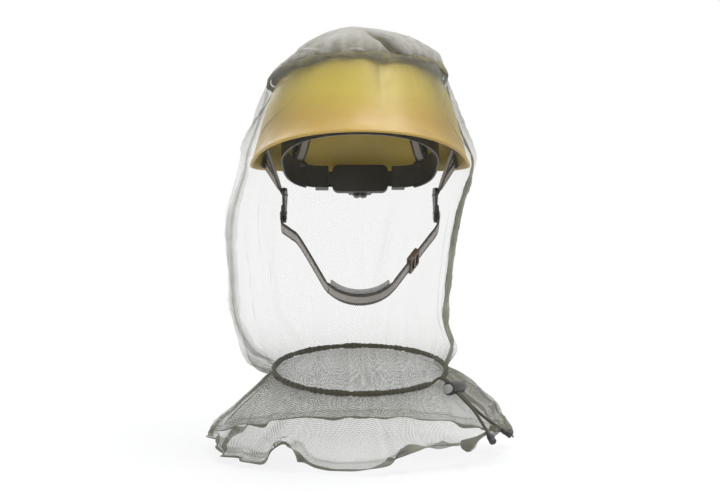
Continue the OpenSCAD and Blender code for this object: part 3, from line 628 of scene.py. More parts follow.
class Finish:
    """A material and the nodes that make it."""

    def __init__(self, name):
        self.material = bpy.data.materials.new(name)
        self.material.use_nodes = True
        self.tree = self.material.node_tree
        self.tree.nodes.clear()

    def node(self, kind, settings=None, inputs=None, output=0):
        """Adds a node: its settings first, then the values or links of its sockets."""
        made = self.tree.nodes.new(kind)
        for key, value in (settings or {}).items():
            if key == "stops":
                while len(made.color_ramp.elements) < len(value):
                    made.color_ramp.elements.new(0.5)
                for stop, (position, colour) in zip(made.color_ramp.elements, value):
                    stop.position, stop.color = position, colour
            else:
                setattr(made, key, value)
        for key, value in (inputs or {}).items():
            if isinstance(value, Wire):
                self.tree.links.new(value.socket, made.inputs[key])
            else:
                made.inputs[key].default_value = value
        return Wire(self, made.outputs[output])

    def noise(self, place, scale, detail=2.0, roughness=0.5):
        """Smooth noise from 0 to 1 at a number of bumps per metre."""
        return self.node("ShaderNodeTexNoise", {}, {"Vector": place, "Scale": scale, "Detail": detail,
                                                    "Roughness": roughness}, "Fac")

    def stretched(self, place, scale):
        """The place with each of its parts scaled on its own."""
        return self.node("ShaderNodeMapping", {}, {"Vector": place, "Scale": scale})

    def object_place(self):
        return self.node("ShaderNodeTexCoord", output="Object")

    def cloth_place(self):
        return self.node("ShaderNodeUVMap", {"uv_map": "cloth"})

    def gathered(self):
        """What the cloth's points say of how it is drawn together, or, for the crown cloth, how much
        painted shade its hollows, pleat and seam get.
        """
        return self.node("ShaderNodeAttribute", {"attribute_name": "gathered"}, output="Fac")

    def parts(self, place):
        """The X and Y of a place."""
        x = self.node("ShaderNodeSeparateXYZ", {}, {"Vector": place})
        return x, x.other("Y")

    def mixed(self, share, first, second):
        """Colour between first and second."""
        return self.node("ShaderNodeMix", {"data_type": "RGBA"}, {0: share, 6: first, 7: second}, 2)

    def bumped(self, height, depth, strength=1.0):
        """Normal over a height of 0 to 1, depth metres deep."""
        return self.node("ShaderNodeBump", {}, {"Height": height, "Distance": depth,
                                                "Strength": strength})

    def surface(self, **sockets):
        """Ends the material in a Principled shader; the keywords are its sockets."""
        inputs = {key.replace("_", " "): value for key, value in sockets.items()}
        shader = self.node("ShaderNodeBsdfPrincipled", {}, inputs)
        self.node_end(shader)
        return self.material

    def node_end(self, shader):
        """Makes a shader what the material shows."""
        end = self.tree.nodes.new("ShaderNodeOutputMaterial")
        self.tree.links.new(shader.socket, end.inputs["Surface"])


def shade(colour, *factors):
    """A colour made lighter or darker, by one factor or by one for each of its parts."""
    return tuple(min(1.0, c * f) for c, f in zip(colour[:3], factors * 3)) + (1.0,)


def netting_finish(name, colour, pitch, thread, opacity):
    """Open tulle: two sets of slanting threads, thicker and closer where the cloth is gathered."""
    made = Finish(name)
    x, y = made.parts(made.cloth_place())
    gathered = made.gathered()
    half = (gathered * (thread * 0.5)).smaller(0.27)
    x = x + made.noise(made.cloth_place(), 45, 1) * (pitch * 2.5)
    slant, lean = (x + y * 0.62) / pitch, (x - y * 0.62) / pitch
    lines = [((abs(line.share() - 0.5) - 0.5 + half) / 0.06 + 0.5).clamped() for line in (slant, lean)]
    cloud = made.noise(made.object_place(), 38, 3)
    dense = (gathered * (0.3 * opacity) + 0.7 * opacity).clamped()
    alpha = lines[0].larger(lines[1]) * dense * (0.85 + cloud * 0.3)
    tint = made.mixed(cloud, shade(colour, 0.8), shade(colour, 1.25))
    return made.surface(Base_Color=tint, Roughness=0.75, Alpha=alpha.clamped(), Specular_IOR_Level=0.2)


def weave_finish(name, colour, pitch, depth, contrast, roughness, sheen, mottle, folded=False):
    """Woven cloth in its own flat metres: over and under threads, slubs and a soft mottle.
    A folded one gets painted shade, darker and greener, in the hollows that its points speak of."""
    made = Finish(name)
    place = made.cloth_place()
    x, y = made.parts(place)
    turn = math.tau / (2 * pitch)
    over = (x * turn).wave() * (y * turn).wave()
    slubs = made.noise(made.stretched(place, (900, 60, 1)), 1.0, 2)
    cloud = made.noise(made.object_place(), 45, 4, 0.6)
    dirt = made.noise(made.object_place(), 260, 2)
    height = over * 0.5 + slubs * 0.6
    share = (cloud - 0.5) * (4 * mottle) + (over * contrast) + (dirt - 0.5) * 0.4 + 0.5
    tint = made.mixed(share.clamped(), shade(colour, 0.66), shade(colour, 1.22))
    if folded:
        # Painted shade: darker and greener where the points' mark is low.
        tint = made.mixed(made.gathered().stepped(0.1, 0.7), shade(colour, 0.42, 0.4, 0.3), tint)
    return made.surface(Base_Color=tint, Roughness=(roughness - cloud * 0.1), Sheen_Weight=sheen,
                        Sheen_Roughness=0.5, Specular_IOR_Level=0.25,
                        Normal=made.bumped(height, depth))


def webbing_finish(name, colour, width):
    """Flat webbing: slanting ribs that meet in the middle, and a darker bound edge."""
    made = Finish(name)
    x, y = made.parts(made.cloth_place())
    centre = abs(y / width - 0.5) * 2
    rib = ((x / 0.0016 + centre * (width / 0.0024)).share() - 0.5)
    ribs = 1 - abs(rib) * 2
    threads = (y * (math.tau / 0.0011)).wave() * 0.5 + 0.5
    cloud = made.noise(made.object_place(), 120, 3)
    edge = centre.stepped(0.52, 0.7)
    share = (ribs * 0.35 + threads * 0.2 + cloud * 0.35 + 0.1).clamped()
    middle = made.mixed(share, shade(colour, 2), shade(colour, 4.6))
    tint = made.mixed(edge, middle, shade(colour, 0.45))
    return made.surface(Base_Color=tint, Roughness=0.82, Sheen_Weight=0.2, Specular_IOR_Level=0.3,
                        Normal=made.bumped(ribs * 0.7 + threads * 0.3, 0.0003))


def braid_finish(name, colour, pitch):
    """Round braided cord: two sets of strands that cross."""
    made = Finish(name)
    x, y = made.parts(made.cloth_place())
    one, two = (x / pitch + y / (pitch * 0.8)).share(), (x / pitch - y / (pitch * 0.8)).share()
    strands = (1 - abs(one - 0.5) * 2) * (1 - abs(two - 0.5) * 2)
    cloud = made.noise(made.object_place(), 300, 2)
    tint = made.mixed((strands * 1.1 + cloud * 0.4).clamped(), shade(colour, 0.5), shade(colour, 1.5))
    return made.surface(Base_Color=tint, Roughness=0.8, Sheen_Weight=0.2,
                        Normal=made.bumped(strands, 0.0003))


def plastic_finish(name, colour, roughness):
    """Moulded plastic: fine spark grain, faint flow marks, rubbed patches and dust."""
    made = Finish(name)
    place = made.object_place()
    grains = made.noise(place, 2400, 1)
    flow = made.noise(made.stretched(place, (18, 18, 60)), 1.0, 3)
    rubbed = made.noise(place, 70, 4, 0.62).stepped(0.58, 0.72)
    scratch = made.noise(made.stretched(place, (40, 420, 900)), 1.0, 2).stepped(0.66, 0.7)
    light = (flow * 0.35 + rubbed * 0.25 + scratch * 0.15).clamped()
    tint = made.mixed(light, shade(colour, 0.86), shade(colour, 1.45))
    rough = (roughness + (flow - 0.5) * 0.12 + rubbed * 0.08 + scratch * 0.12).clamped()
    return made.surface(Base_Color=tint, Roughness=rough,
                        Normal=made.bumped(grains * 0.8 + scratch * 0.4, 0.00006))


def shell_finish(name, colour):
    """Helmet plastic gone dull: slight waviness, fine scuffs, dust settled near the rim, and painted
    shade that makes the lower shell, most of all the peak, darker and more orange.
    """
    made = Finish(name)
    place = made.object_place()
    _, depth = made.parts(place)
    height = depth.other("Z")
    wavy = made.noise(place, 28, 2)
    stains = made.noise(place, 16, 4, 0.6)
    peel = made.noise(place, 900, 2)
    scuffs = made.noise(made.stretched(place, (55, 60, 700)), 1.0, 3, 0.6).stepped(0.6, 0.68)
    dust = made.noise(place, 60, 5, 0.65).stepped(0.42, 0.75)
    # low is 1 on the lower shell: it places both the dust near the rim and the painted shade.
    low = 1 - (height + wavy * 0.012).stepped(0.036, 0.062)
    share = ((stains - 0.5) * 1.5 + 0.5 + scuffs * 0.12).clamped()
    clean = made.mixed(share, shade(colour, 0.86, 0.9, 0.7), shade(colour, 1.1))
    # Painted shade: the lower shell, and most of all the peak at the front, is painted darker and more
    # orange.
    front = low * ((depth * -1).stepped(-0.02, 0.09) * 0.55 + 0.3)
    with_painted_front_shade = made.mixed(front, clean, shade(colour, 0.8, 0.63, 0.5))
    dusty = made.mixed((dust * (0.08 + low * 0.1)).clamped(), with_painted_front_shade, (0.5, 0.45, 0.33, 1.0))
    rough = (0.42 + scuffs * 0.12 + dust * 0.14 + (wavy - 0.5) * 0.08).clamped()
    return made.surface(Base_Color=dusty, Roughness=rough, Coat_Weight=(0.22 - dust * 0.15).clamped(),
                        Coat_Roughness=0.3, Specular_IOR_Level=0.4,
                        Normal=made.bumped(peel * 0.25 + wavy * 0.75, 0.0005, 0.6))


def pad_finish(name, colour, pitch):
    """Brushed knit over foam: small loops in rows and a soft nap."""
    made = Finish(name)
    place = made.object_place()
    loops = made.node("ShaderNodeTexVoronoi", {"feature": "F1"}, {"Vector": place,
                                                                  "Scale": 1 / pitch}, "Distance")
    nap = made.noise(place, 700, 2)
    cloud = made.noise(place, 60, 3)
    share = (cloud * 0.6 + nap * 0.3 + (0.5 - loops) * 0.3).clamped()
    tint = made.mixed(share, shade(colour, 0.6), shade(colour, 1.35))
    return made.surface(Base_Color=tint, Roughness=0.93, Sheen_Weight=0.4, Sheen_Roughness=0.4,
                        Normal=made.bumped((1 - loops) * 0.6 + nap * 0.4, 0.0004))


def steel_finish(name):
    """Plated steel with faint turning marks and dull spots."""
    made = Finish(name)
    place = made.object_place()
    lines = made.noise(made.stretched(place, (60, 1800, 60)), 1.0, 2)
    spots = made.noise(place, 400, 3).stepped(0.55, 0.7)
    tint = made.mixed((spots * 0.6 + lines * 0.3).clamped(), (0.66, 0.67, 0.69, 1), (0.42, 0.41, 0.4, 1))
    return made.surface(Base_Color=tint, Metallic=(1 - spots * 0.25), Roughness=(0.24 + lines * 0.2
                        + spots * 0.2).clamped(), Normal=made.bumped(lines, 0.00004))


FINISHES = {}


def finish(name):
    """The material of that name, made the first time it is asked for, and the slot it is for."""
    if name in FINISHES:
        return FINISHES[name]
    colours, pitch = bpy.context.scene.veil_colours, bpy.context.scene.veil_cloth.mesh_pitch
    recipes = {
        "fine_netting": ("netting", netting_finish, colours.netting, pitch, 0.09, 0.36),
        "skirt_netting": ("netting", netting_finish, (0.15, 0.148, 0.115), pitch, 0.19, 0.88),
        "seam_netting": ("binding_tape", netting_finish, shade(colours.netting, 2.1), pitch * 0.7,
                         0.09, 0.75),
        # The crown cloth's weave, with painted shade in its hollows, down its pleat and by its seam.
        "crown_weave": ("crown_cloth", weave_finish, colours.crown, 0.0008, 0.0003, 0.18, 0.9, 0.25,
                        0.25, True),
        "cord_braid": ("cord", braid_finish, shade(colours.binding, 0.8), 0.0026),
        "helmet_plastic": ("yellow_plastic", shell_finish, colours.shell),
        "dark_plastic": ("black_plastic", plastic_finish, colours.fittings, 0.42),
        "grey_plastic": ("grey_plastic", plastic_finish, (0.26, 0.26, 0.24), 0.38),
        "pale_plastic": ("white_plastic", plastic_finish, (0.62, 0.6, 0.55), 0.4),
        "brown_plastic": ("brown_plastic", plastic_finish, (0.085, 0.052, 0.03), 0.36),
        "strap_webbing": ("webbing", webbing_finish, colours.webbing, WEB_W * MM),
        "narrow_webbing": ("webbing", webbing_finish, colours.webbing, 0.0125),
        "pad_knit": ("pad", pad_finish, (0.1, 0.085, 0.08), 0.0022),
        "brow_knit": ("pad", pad_finish, (0.075, 0.045, 0.06), 0.0022),
        "chin_knit": ("pad", pad_finish, (0.3, 0.3, 0.28), 0.0018),
        "plated_steel": ("steel", steel_finish),
    }
    tapes = {"hem": (shade(colours.netting, 1.1), 0.0002, 0.88, 0.5),
             "bunched": ((0.15, 0.13, 0.06), 0.0003, 0.9, 0.7),
             "binding": (colours.binding, 0.0003, 0.88, 0.4),
             "seam": ((0.33, 0.32, 0.26), 0.0002, 0.88, 0.45)}
    for tape, (colour, depth, roughness, mottle) in tapes.items():
        recipes[tape + "_weave"] = ("binding_tape", weave_finish, colour, 0.0007, depth, 0.3,
                                    roughness, 0.2, mottle)
    slot, maker, *facts = recipes[name]
    FINISHES[name] = maker(name, *facts), slot
    return FINISHES[name]


# ---- Sizes and colours ---------------------------------------------------------------

def length_property(name, description, default, low, high):
    return FloatProperty(name=name, description=description, default=default, min=low, max=high,
                         unit="LENGTH")


def colour_property(name, description, default):
    return FloatVectorProperty(name=name, description=description, subtype="COLOR", size=4,
                               min=0, max=1, default=(*default, 1.0))


class VeilCloth(bpy.types.PropertyGroup):
    """How the cloth hangs and how open the netting is."""

    mesh_pitch: length_property("Mesh Pitch", "Distance between the threads", 0.0016, 0.001, 0.004)
    gather_depth: length_property("Gather Depth", "Depth of the gathers at the neck", 0.0034, 0, 0.006)
    fold_depth: length_property("Fold Depth", "Depth of the hanging folds", 0.0085, 0, 0.014)
    ruffle_depth: length_property("Ruffle Depth", "Depth of the skirt's ruffles", 0.011, 0, 0.014)
    crown_slack: length_property("Crown Slack", "How far the crown cloth stands off", 0.006, 0, 0.01)


class VeilColours(bpy.types.PropertyGroup):
    """Colours of the cloths and plastics."""

    netting: colour_property("Netting", "Colour of the netting's threads", (0.175, 0.17, 0.14))
    crown: colour_property("Crown", "Colour of the crown cloth", (0.35, 0.335, 0.295))
    binding: colour_property("Binding", "Colour of the bindings and the cord", (0.06, 0.055, 0.032))
    shell: colour_property("Helmet", "Colour of the helmet", (0.56, 0.415, 0.055))
    fittings: colour_property("Fittings", "Colour of the dark fittings", (0.024, 0.022, 0.021))
    webbing: colour_property("Webbing", "Colour of the straps", (0.1, 0.09, 0.078))


class VeilStage(bpy.types.PropertyGroup):
    """Camera, lamps and floor."""

    distance: length_property("Distance", "Camera to the head's centre", 1.2, 0.6, 3)
    eye_height: length_property("Eye Height", "Height of the camera", -0.09, -0.3, 0.3)
    key_power: FloatProperty(name="Key Power", description="Power of the main lamp in watts",
                             default=17, min=0, max=100)


# ---- Operators -------------------------------------------------------------------------

class VEIL_OT_camera(bpy.types.Operator):
    """Sets up the camera in front of the wearer"""

    bl_idname = "veil.camera"
    bl_label = "Camera"

    def execute(self, context):
        settings = context.scene.veil_stage
        data = bpy.data.cameras.new("front_camera")
        data.lens, data.sensor_width = 60, 36
        camera = bpy.data.objects.new("front_camera", data)
        camera.location = (0, -settings.distance, settings.eye_height)
        camera.rotation_euler = (math.radians(90), 0, 0)
        context.scene.collection.objects.link(camera)
        context.scene.camera = camera
        return {"FINISHED"}


class VEIL_OT_drawcord(bpy.types.Operator):
    """Builds the drawcord, its two tails and their end pieces"""

    bl_idname = "veil.drawcord"
    bl_label = "Drawcord"

    def execute(self, context):
        self.ring()
        for name in TAILS:
            self.tail(name)
        return {"FINISHED"}

    def ring(self):
        """The cord inside the neck tunnel, with the bends that lead it out to the lock."""
        ring = [neck_point(EXIT_A + EXIT_GAP + (360 - 2 * EXIT_GAP) * k / 60) for k in range(61)]
        rear, front = ([from_exit(p) for p in bend] for bend in (BEND_REAR, BEND_FRONT))
        route = ([from_exit(on_straight(1, t)) for t in (STRAIGHT_L, 26, 6)] + rear[::-1] + ring
                 + front + [from_exit(on_straight(-1, t)) for t in (6, 26, STRAIGHT_L)])
        bm, _ = cord_tube(smooth_line(route, 1.6), CORD_R)
        new_piece("neck_cord", bm, "cord_braid", "neck_drawcord")

    def tail(self, name):
        """The limp cord that hangs from the lock."""
        side, points = TAILS[name]
        route = [from_exit(p) for p in [on_straight(side, STRAIGHT_L), *points]]
        line = smooth_line(route, 1.4)
        bm, length = cord_tube(line, CORD_R)
        tail = new_piece(f"{name}_tail", bm, "cord_braid", f"drawcord_tail_{name}")
        end = self.end_piece(name, route[-2], route[-1])
        length * MM
        [p * MM for p in line]

    def end_piece(self, name, before, tip):
        """A ribbed bell over the tail's last bit."""
        r, l = CORD_END_R, CORD_END_L
        profile = [(0, 0), (1.9, 0), (2.2, 0.3), (2.3, 1.6), (2.9, 2.6), (r - 0.2, 3.6), (r - 0.1, 5)]
        for z in (6.2, 8.2):
            profile += [(r - 0.1, z), (r - 0.55, z + 0.35), (r - 0.55, z + 0.9), (r - 0.05, z + 1.25)]
        profile += [(r, l - 3), (r, l - 1), (r - 0.5, l - 0.25), (r - 1.2, l), (1.2, l - 0.1),
                    (0, l - 0.5)]
        bm = lathe(profile, 28)
        turn = (tip - before).to_track_quat("Z", "Y").to_matrix().to_4x4()
        bm.transform(Matrix.Translation(tip * MM) @ turn)
        return new_piece(f"{name}_cord_end", bm, "dark_plastic", f"cord_end_{name}", sharp_angle=35)


class VEIL_OT_netting(bpy.types.Operator):
    """Builds the front and the back netting and the tapes over their side seams"""

    bl_idname = "veil.netting"
    bl_label = "Netting"

    def execute(self, context):
        half_round, high = 0.4, 0.34
        tapes = [self.seam("left", 0, "seam_weave", 0.9, 6.2, 0.1),
                 self.seam("right", 180, "seam_netting", 0.7, 10.5, -0.15)]
        for name, start in (("front", 180), ("back", 0)):
            def folded(x, y, start=start):
                return net_surface(start + 180 * x, (NET_TOP + TUCKED) * y - TUCKED)

            def plain(x, y, start=start):
                return normal_of(net_point, start + 180 * x, NET_TOP * y)

            bm = shaped_grid(folded, 168, 100, (half_round, high), plain=plain, drawn=self.drawn)
            piece = new_piece(f"veil_{name}", bm, "fine_netting", f"net_{name}")
        return {"FINISHED"}

    def drawn(self, p):
        """How tightly the netting is drawn together: at the neck, the crown and the side seams."""
        a = math.degrees(math.atan2(p.y, p.x))
        sides = (bump(a, 0, 13) + 0.6 * bump(a, 180, 13)) * bell(p.z, -150, 200, 20)
        return (1 + 2.8 * fall(p.z + 206, 17) + 1.8 * fall(84 - p.z, 12)
                + bell(p.z, 5, 200, 12) * (0.6 + 2.6 * bump(a, -36, 22) + 1.8 * bump(a, -144, 22))
                + 1.6 * sides)

    def seam(self, name, a, kind, half_thick, reach, lean):
        """The puckered edges of the panels, sewn together and standing out along the side."""
        low, high = 0.04, NET_TOP - 0.3

        def place(x, y):
            s = low + (high - low) * x
            cos_y, sin_y = turned(360 * y)
            out = normal_of(net_point, a, s)
            loose = 0.35 + 0.65 * bell(s, 0.3, 3.9, 0.2)
            pucker = 1 + 0.5 * wander(3.1 * s, a) + 0.25 * wander(11 * s, a, 5)
            half = 0.5 * reach * loose * pucker
            sway = Vector((0, 2.4 * wander(4 * s, a, 3) * loose, 0))
            return (net_surface(a, s) + out * half * (lean + cos_y) + sway
                    + Vector((0, half_thick * sin_y, 0)))

        def stitched(x, y):
            return 1 + 2.2 * peak(turned(360 * y)[0], 0.15, 0.22)

        bm = shaped_grid(place, 190, 16, (0.33, 0.016), close_y=True, caps=True, mark=stitched)
        return new_piece(f"{name}_seam_tape", bm, kind, f"side_seam_{name}")


class VEIL_OT_crown(bpy.types.Operator):
    """Builds the slack crown cloth and the gathered binding round it"""

    bl_idname = "veil.crown"
    bl_label = "Crown"

    def execute(self, context):
        # The crown cloth's points carry painted shade for its hollows, its pleat and its seam.
        bm = shaped_grid(lambda x, y: crown_surface(360 * x, y), 240, 50, (0.6, 0.12),
                         close_x=True, close_y=True, mark=self.folded)
        layer = bm.loops.layers.uv["cloth"]
        for face in bm.faces:
            for loop in face.loops:
                loop[layer].uv = loop.vert.co.xy
        cap = new_piece("crown_cloth", bm, "crown_weave", "crown_cap")
        modify(cap, "thickness", "SOLIDIFY", thickness=0.0005, offset=0)
        self.binding()
        return {"FINISHED"}

    def folded(self, x, y):
        """Painted shade for the crown cloth: 0, darkest, in its hollows, down its pleat and near its
        seam, about 1 on its ridges.
        """
        a = 360 * x
        round_it = sum(crown_fold(a + d, y) for d in (-3, 3)) / 2
        up_it = sum(crown_fold(a, max(0, y + d)) for d in (-0.05, 0.05)) / 2
        proud = 2 * crown_fold(a, y) - round_it - up_it
        # Painted shade down the crease of the pleat.
        dark = 0.8 * bump(a, 292 - 27 * y, 5) * bell(y, 0.0, 0.5, 0.05)
        # Painted shade in the hollows and near the seam, under the binding.
        return (0.62 + 0.16 * proud - dark) * (1 - 0.55 * fall(y, 0.16))

    def binding(self):
        """A folded band that follows the seam, drawn up into bunches here and there."""
        def place(x, y):
            a = 360 * x
            cos_a, sin_a = turned(a)
            cos_y, sin_y = turned(360 * y)
            out = normal_of(net_point, a, NET_TOP - 0.1)
            up = out.cross(Vector((-sin_a, cos_a, 0)))
            bunch = max(0, ring_noise(a, 3.6, 14)) * 2.6
            bunch += sum(size * bump(a, knot, 5.5) for knot, size in KNOTS)
            crimp = ridged(84 * math.radians(a) + 7 * ring_noise(a, 5, 2))
            high = 2.3 + 1.5 * bunch + 0.6 * crimp + 0.9 * ring_noise(a, 11, 5)
            thick = 0.9 + 0.4 * bunch + 0.35 * crimp
            dip = 3.4 * ring_noise(a, 2.4, 17) + 1.8 * ring_noise(a, 8, 3)
            return (net_point(a, NET_TOP) + out * (0.15 * bunch - 1.2 + thick * cos_y)
                    + up * (dip + high * sin_y))

        bm = shaped_grid(place, 480, 14, (0.6, 0.016), close_x=True, close_y=True)
        return new_piece("crown_band", bm, "bunched_weave", "crown_binding")


class VEIL_OT_neck(bpy.types.Operator):
    """Builds the gathered tunnel that the drawcord runs through"""

    bl_idname = "veil.neck"
    bl_label = "Neck Tunnel"

    def execute(self, context):
        start, sweep = EXIT_A + EXIT_GAP, 360 - 2 * EXIT_GAP
        lean = Matrix.Rotation(math.radians(NECK_LEAN), 3, "X")

        def place(x, y):
            a = start + sweep * x
            cos_y, sin_y = turned(360 * y)
            crimp = ridged(96 * math.radians(a) + 8 * ring_noise(a, 4, 6))
            uneven = ring_noise(a, 6, 21) + 0.6 * ring_noise(a, 17, 22)
            r = CASING_R - 1.3 + 0.7 * crimp + 0.8 * uneven + 0.45 * abs(sin_y) ** 3
            mouth = min(1, min(x, 1 - x) * 60)
            r = 1.9 + (max(1.9, r) - 1.9) * mouth
            out = lean @ Vector((*turned(a), 0))
            return neck_point(a) + out * r * cos_y + lean @ UP * r * sin_y

        bm = shaped_grid(place, 560, 14, (0.54, 0.02), close_y=True, caps=True)
        new_piece("neck_tunnel", bm, "binding_weave", "neck_casing")
        return {"FINISHED"}


class VEIL_OT_skirt(bpy.types.Operator):
    """Builds the gathered shoulder skirt and its hem"""

    bl_idname = "veil.skirt"
    bl_label = "Shoulder Skirt"

    def execute(self, context):
        def folded(x, y):
            return skirt_surface(360 * x, (SKIRT_TOP + 0.07) * y)

        def plain(x, y):
            return normal_of(skirt_point, 360 * x, SKIRT_TOP * y)

        bm = shaped_grid(folded, 352, 44, (0.98, 0.1), close_x=True, plain=plain, drawn=self.drawn)
        skirt = new_piece("shoulder_ruffle", bm, "skirt_netting", "shoulder_skirt")
        hem = self.hem()
        return {"FINISHED"}

    def drawn(self, p):
        """How tightly the skirt is drawn together: at the neck, and doubled by the turned-up hem."""
        a = math.degrees(math.atan2(p.y, p.x)) % 360
        low = skirt_point(a, 0.85).z
        return (1 + 1.3 * fall(math.hypot(p.x, p.y) - NECK_R, 16)
                + 0.8 * bump(a, 354, 13) + 0.35 * bump(a, 212, 22)
                + 0.4 * bell(p.z, -400, low, 0.8) + 0.9 * peak(p.z, low, 0.9))

    def hem(self):
        """A narrow folded tape round the skirt's edge."""
        def place(x, y):
            cos_y, sin_y = turned(360 * y)
            return skirt_surface(360 * x, 0.13 + 0.13 * sin_y, 0.5 * cos_y)

        bm = shaped_grid(place, 352, 10, (0.98, 0.012), close_x=True, close_y=True)
        return new_piece("hem_tape", bm, "hem_weave", "hem_binding")


class VEIL_OT_cord_lock(bpy.types.Operator):
    """Builds the cord lock's barrel and button"""

    bl_idname = "veil.cord_lock"
    bl_label = "Cord Lock"

    def execute(self, context):
        moulded("cord_lock_barrel", "dark_plastic", 0.5, "cord_lock")
        moulded("cord_lock_button", "grey_plastic", 0.5, "lock_button")
        self.spring()
        return {"FINISHED"}

    def spring(self):
        """A coil between the button and the barrel's closed end, which pressing the button closes."""
        cos_f, sin_f = turned(CORD_FALL)

        def place(x, y, z):
            along = LOCK_T + x
            return from_exit((CORD_START[0] + along * cos_f + z * sin_f, y,
                              CORD_START[1] - along * sin_f + z * cos_f))

        near, far = SPRING_Y
        steps = 24 * SPRING_TURNS
        angles = [turned(15 * k) for k in range(steps + 1)]
        coil = [place(SPRING_R * cos_k, near + (far - near) * k / steps, SPRING_R * sin_k)
                for k, (cos_k, sin_k) in enumerate(angles)]
        bm, _ = cord_tube(coil, WIRE_R, 8)
        piece = new_piece("lock_coil", bm, "plated_steel", "cord_lock_spring", "cord_lock")
        place(0, far + WIRE_R, 0) * MM
        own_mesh(piece)


class VEIL_OT_helmet(bpy.types.Operator):
    """Builds the helmet shell with the sockets and pegs moulded inside it"""

    bl_idname = "veil.helmet"
    bl_label = "Helmet Shell"

    def execute(self, context):
        rows = [0, 0.006, 0.014, 0.024, 0.04, 0.06, 0.09, 0.12, 0.16, 0.2, 0.24, 0.29, 0.34, 0.4, 0.46,
                0.52, 0.58, 0.64, 0.7, 0.76, 0.82, 0.88, 0.93, 0.97, 1]
        last = len(rows) - 1

        def place(x, y):
            u = rows[round(y * last)]
            bead = 0.9 * peak(u, 0.006, 0.012)
            p = shell_point(360 * x, u)
            return p + normal_of(shell_point, 360 * x, max(0.001, min(0.98, u))) * bead

        bm = shaped_grid(place, 120, last, close_x=True, close_y=True)
        shell = new_piece("helmet", bm, "helmet_plastic", "helmet_shell")
        modify(shell, "wall", "SOLIDIFY", thickness=SHELL_WALL * MM, offset=-1)
        modify(shell, "smooth", "SUBSURF", levels=1, render_levels=1)
        self.fittings()
        return {"FINISHED"}

    def fittings(self):
        """The sockets that hold the harness keys and the pegs that hold the strap's clips."""
        whole = bmesh.new()
        parts = [self.socket(shell_place(*place)) for place in KEY_PLACES]
        parts += [self.peg(shell_place(side, u)) for a, u in CLIP_PLACES.values()
                  for side in (a, 180 - a)]
        for part in parts:
            mesh = bpy.data.meshes.new("part")
            part.to_mesh(mesh)
            part.free()
            whole.from_mesh(mesh)
            bpy.data.meshes.remove(mesh)
        new_piece("helmet_fittings", whole, "helmet_plastic", None, sharp_angle=35)

    def socket(self, place):
        """A box whose mouth takes a harness key."""
        bm = bmesh.new()
        bmesh.ops.create_cube(bm, size=1)
        bmesh.ops.scale(bm, vec=Vector((KEY_W + 7, 14, 9)) * MM, verts=bm.verts)
        mouth = next(f for f in bm.faces if f.normal.y < -0.9)
        bmesh.ops.inset_region(bm, faces=[mouth], thickness=3.25 * MM)
        bmesh.ops.translate(bm, vec=(0, 0, -1.1 * MM), verts=mouth.verts)
        pulled = bmesh.ops.extrude_discrete_faces(bm, faces=[mouth])["faces"][0]
        bmesh.ops.translate(bm, vec=(0, 12.5 * MM, 0), verts=pulled.verts)
        outer = [e for e in bm.edges if max(abs(v.co.x) for v in e.verts) > 12 * MM]
        bmesh.ops.bevel(bm, geom=outer, offset=0.8 * MM, segments=2, affect="EDGES",
                        profile=0.5, material=-1)
        bmesh.ops.translate(bm, vec=(0, 0, -5.9 * MM), verts=bm.verts)
        bm.transform(place)
        return bm

    def peg(self, place):
        """A headed peg that a leg's clip snaps over."""
        bm = lathe([(0, -8.4), (2.4, -8.4), (3.5, -8), (3.8, -7.3), (3.5, -6.6), (2.5, -6.3),
                    (2.5, -1.6), (3.4, -1)], 20)
        bm.transform(place)
        return bm


class VEIL_OT_crown_harness(bpy.types.Operator):
    """Builds the harness keys, the two crown straps and the pad under them"""

    bl_idname = "veil.crown_harness"
    bl_label = "Crown Harness"

    def execute(self, context):
        for node in KEY_NODES:
            moulded(node, "dark_plastic", 0.35)
        self.strap("lower", 0, 2, STRAP_TOP)
        self.strap("upper", 1, 3, STRAP_TOP + STRAP_T)
        self.pad()
        return {"FINISHED"}

    def strap(self, name, i, j, top):
        """Webbing looped through key i, over the head at height top, and through key j."""
        cos_z, sin_z = turned(KEY_PLACES[i][0])

        def flat(p):
            return p.x * cos_z + p.y * sin_z, p.z

        def loop(k):
            return [flat(by_shell(*KEY_PLACES[k], LOOP_Y + dy, dz - KEY_DEPTH)) for dy, dz in LOOP_ROUTE]

        def arc(p, steps=9):
            shares = [turned(90 * k / steps) for k in range(1, steps)]
            return [(p[0] * c ** 0.9, p[1] + (top - p[1]) * s ** 0.9) for c, s in shares]

        start, end = loop(i), loop(j)
        route = start + arc(start[-1]) + [(0, top)] + arc(end[-1])[::-1] + end[::-1]
        path = smooth_line([(r * cos_z, r * sin_z, z) for r, z in route], 2.5)
        ribbon(f"crown_webbing_{name}", f"crown_strap_{name}", path, Vector((-sin_z, cos_z, 0)),
               KEY_W - 5, STRAP_T - 0.1, "narrow_webbing")

    def pad(self):
        """A round pad with a stitched ring and a bound edge."""
        half, middle, bend = 1.9, 85.5, 300
        face = []
        for k in range(29):
            r = 27.2 * k / 28
            face.append((r, half - (0.9 * peak(r, 17, 1.1) + 0.5 * peak(r, 24.6, 0.7))))
        top, low = ([(r, middle - r * r / bend + side * high) for r, high in face] for side in (1, -1))
        edge = [(28.1, middle - 2.6 + 0.9), (28.4, middle - 2.6), (28.1, middle - 2.6 - 0.9)]
        piece = new_piece("crown_cushion", lathe(top + edge + low[::-1], 72), "pad_knit", "crown_pad")


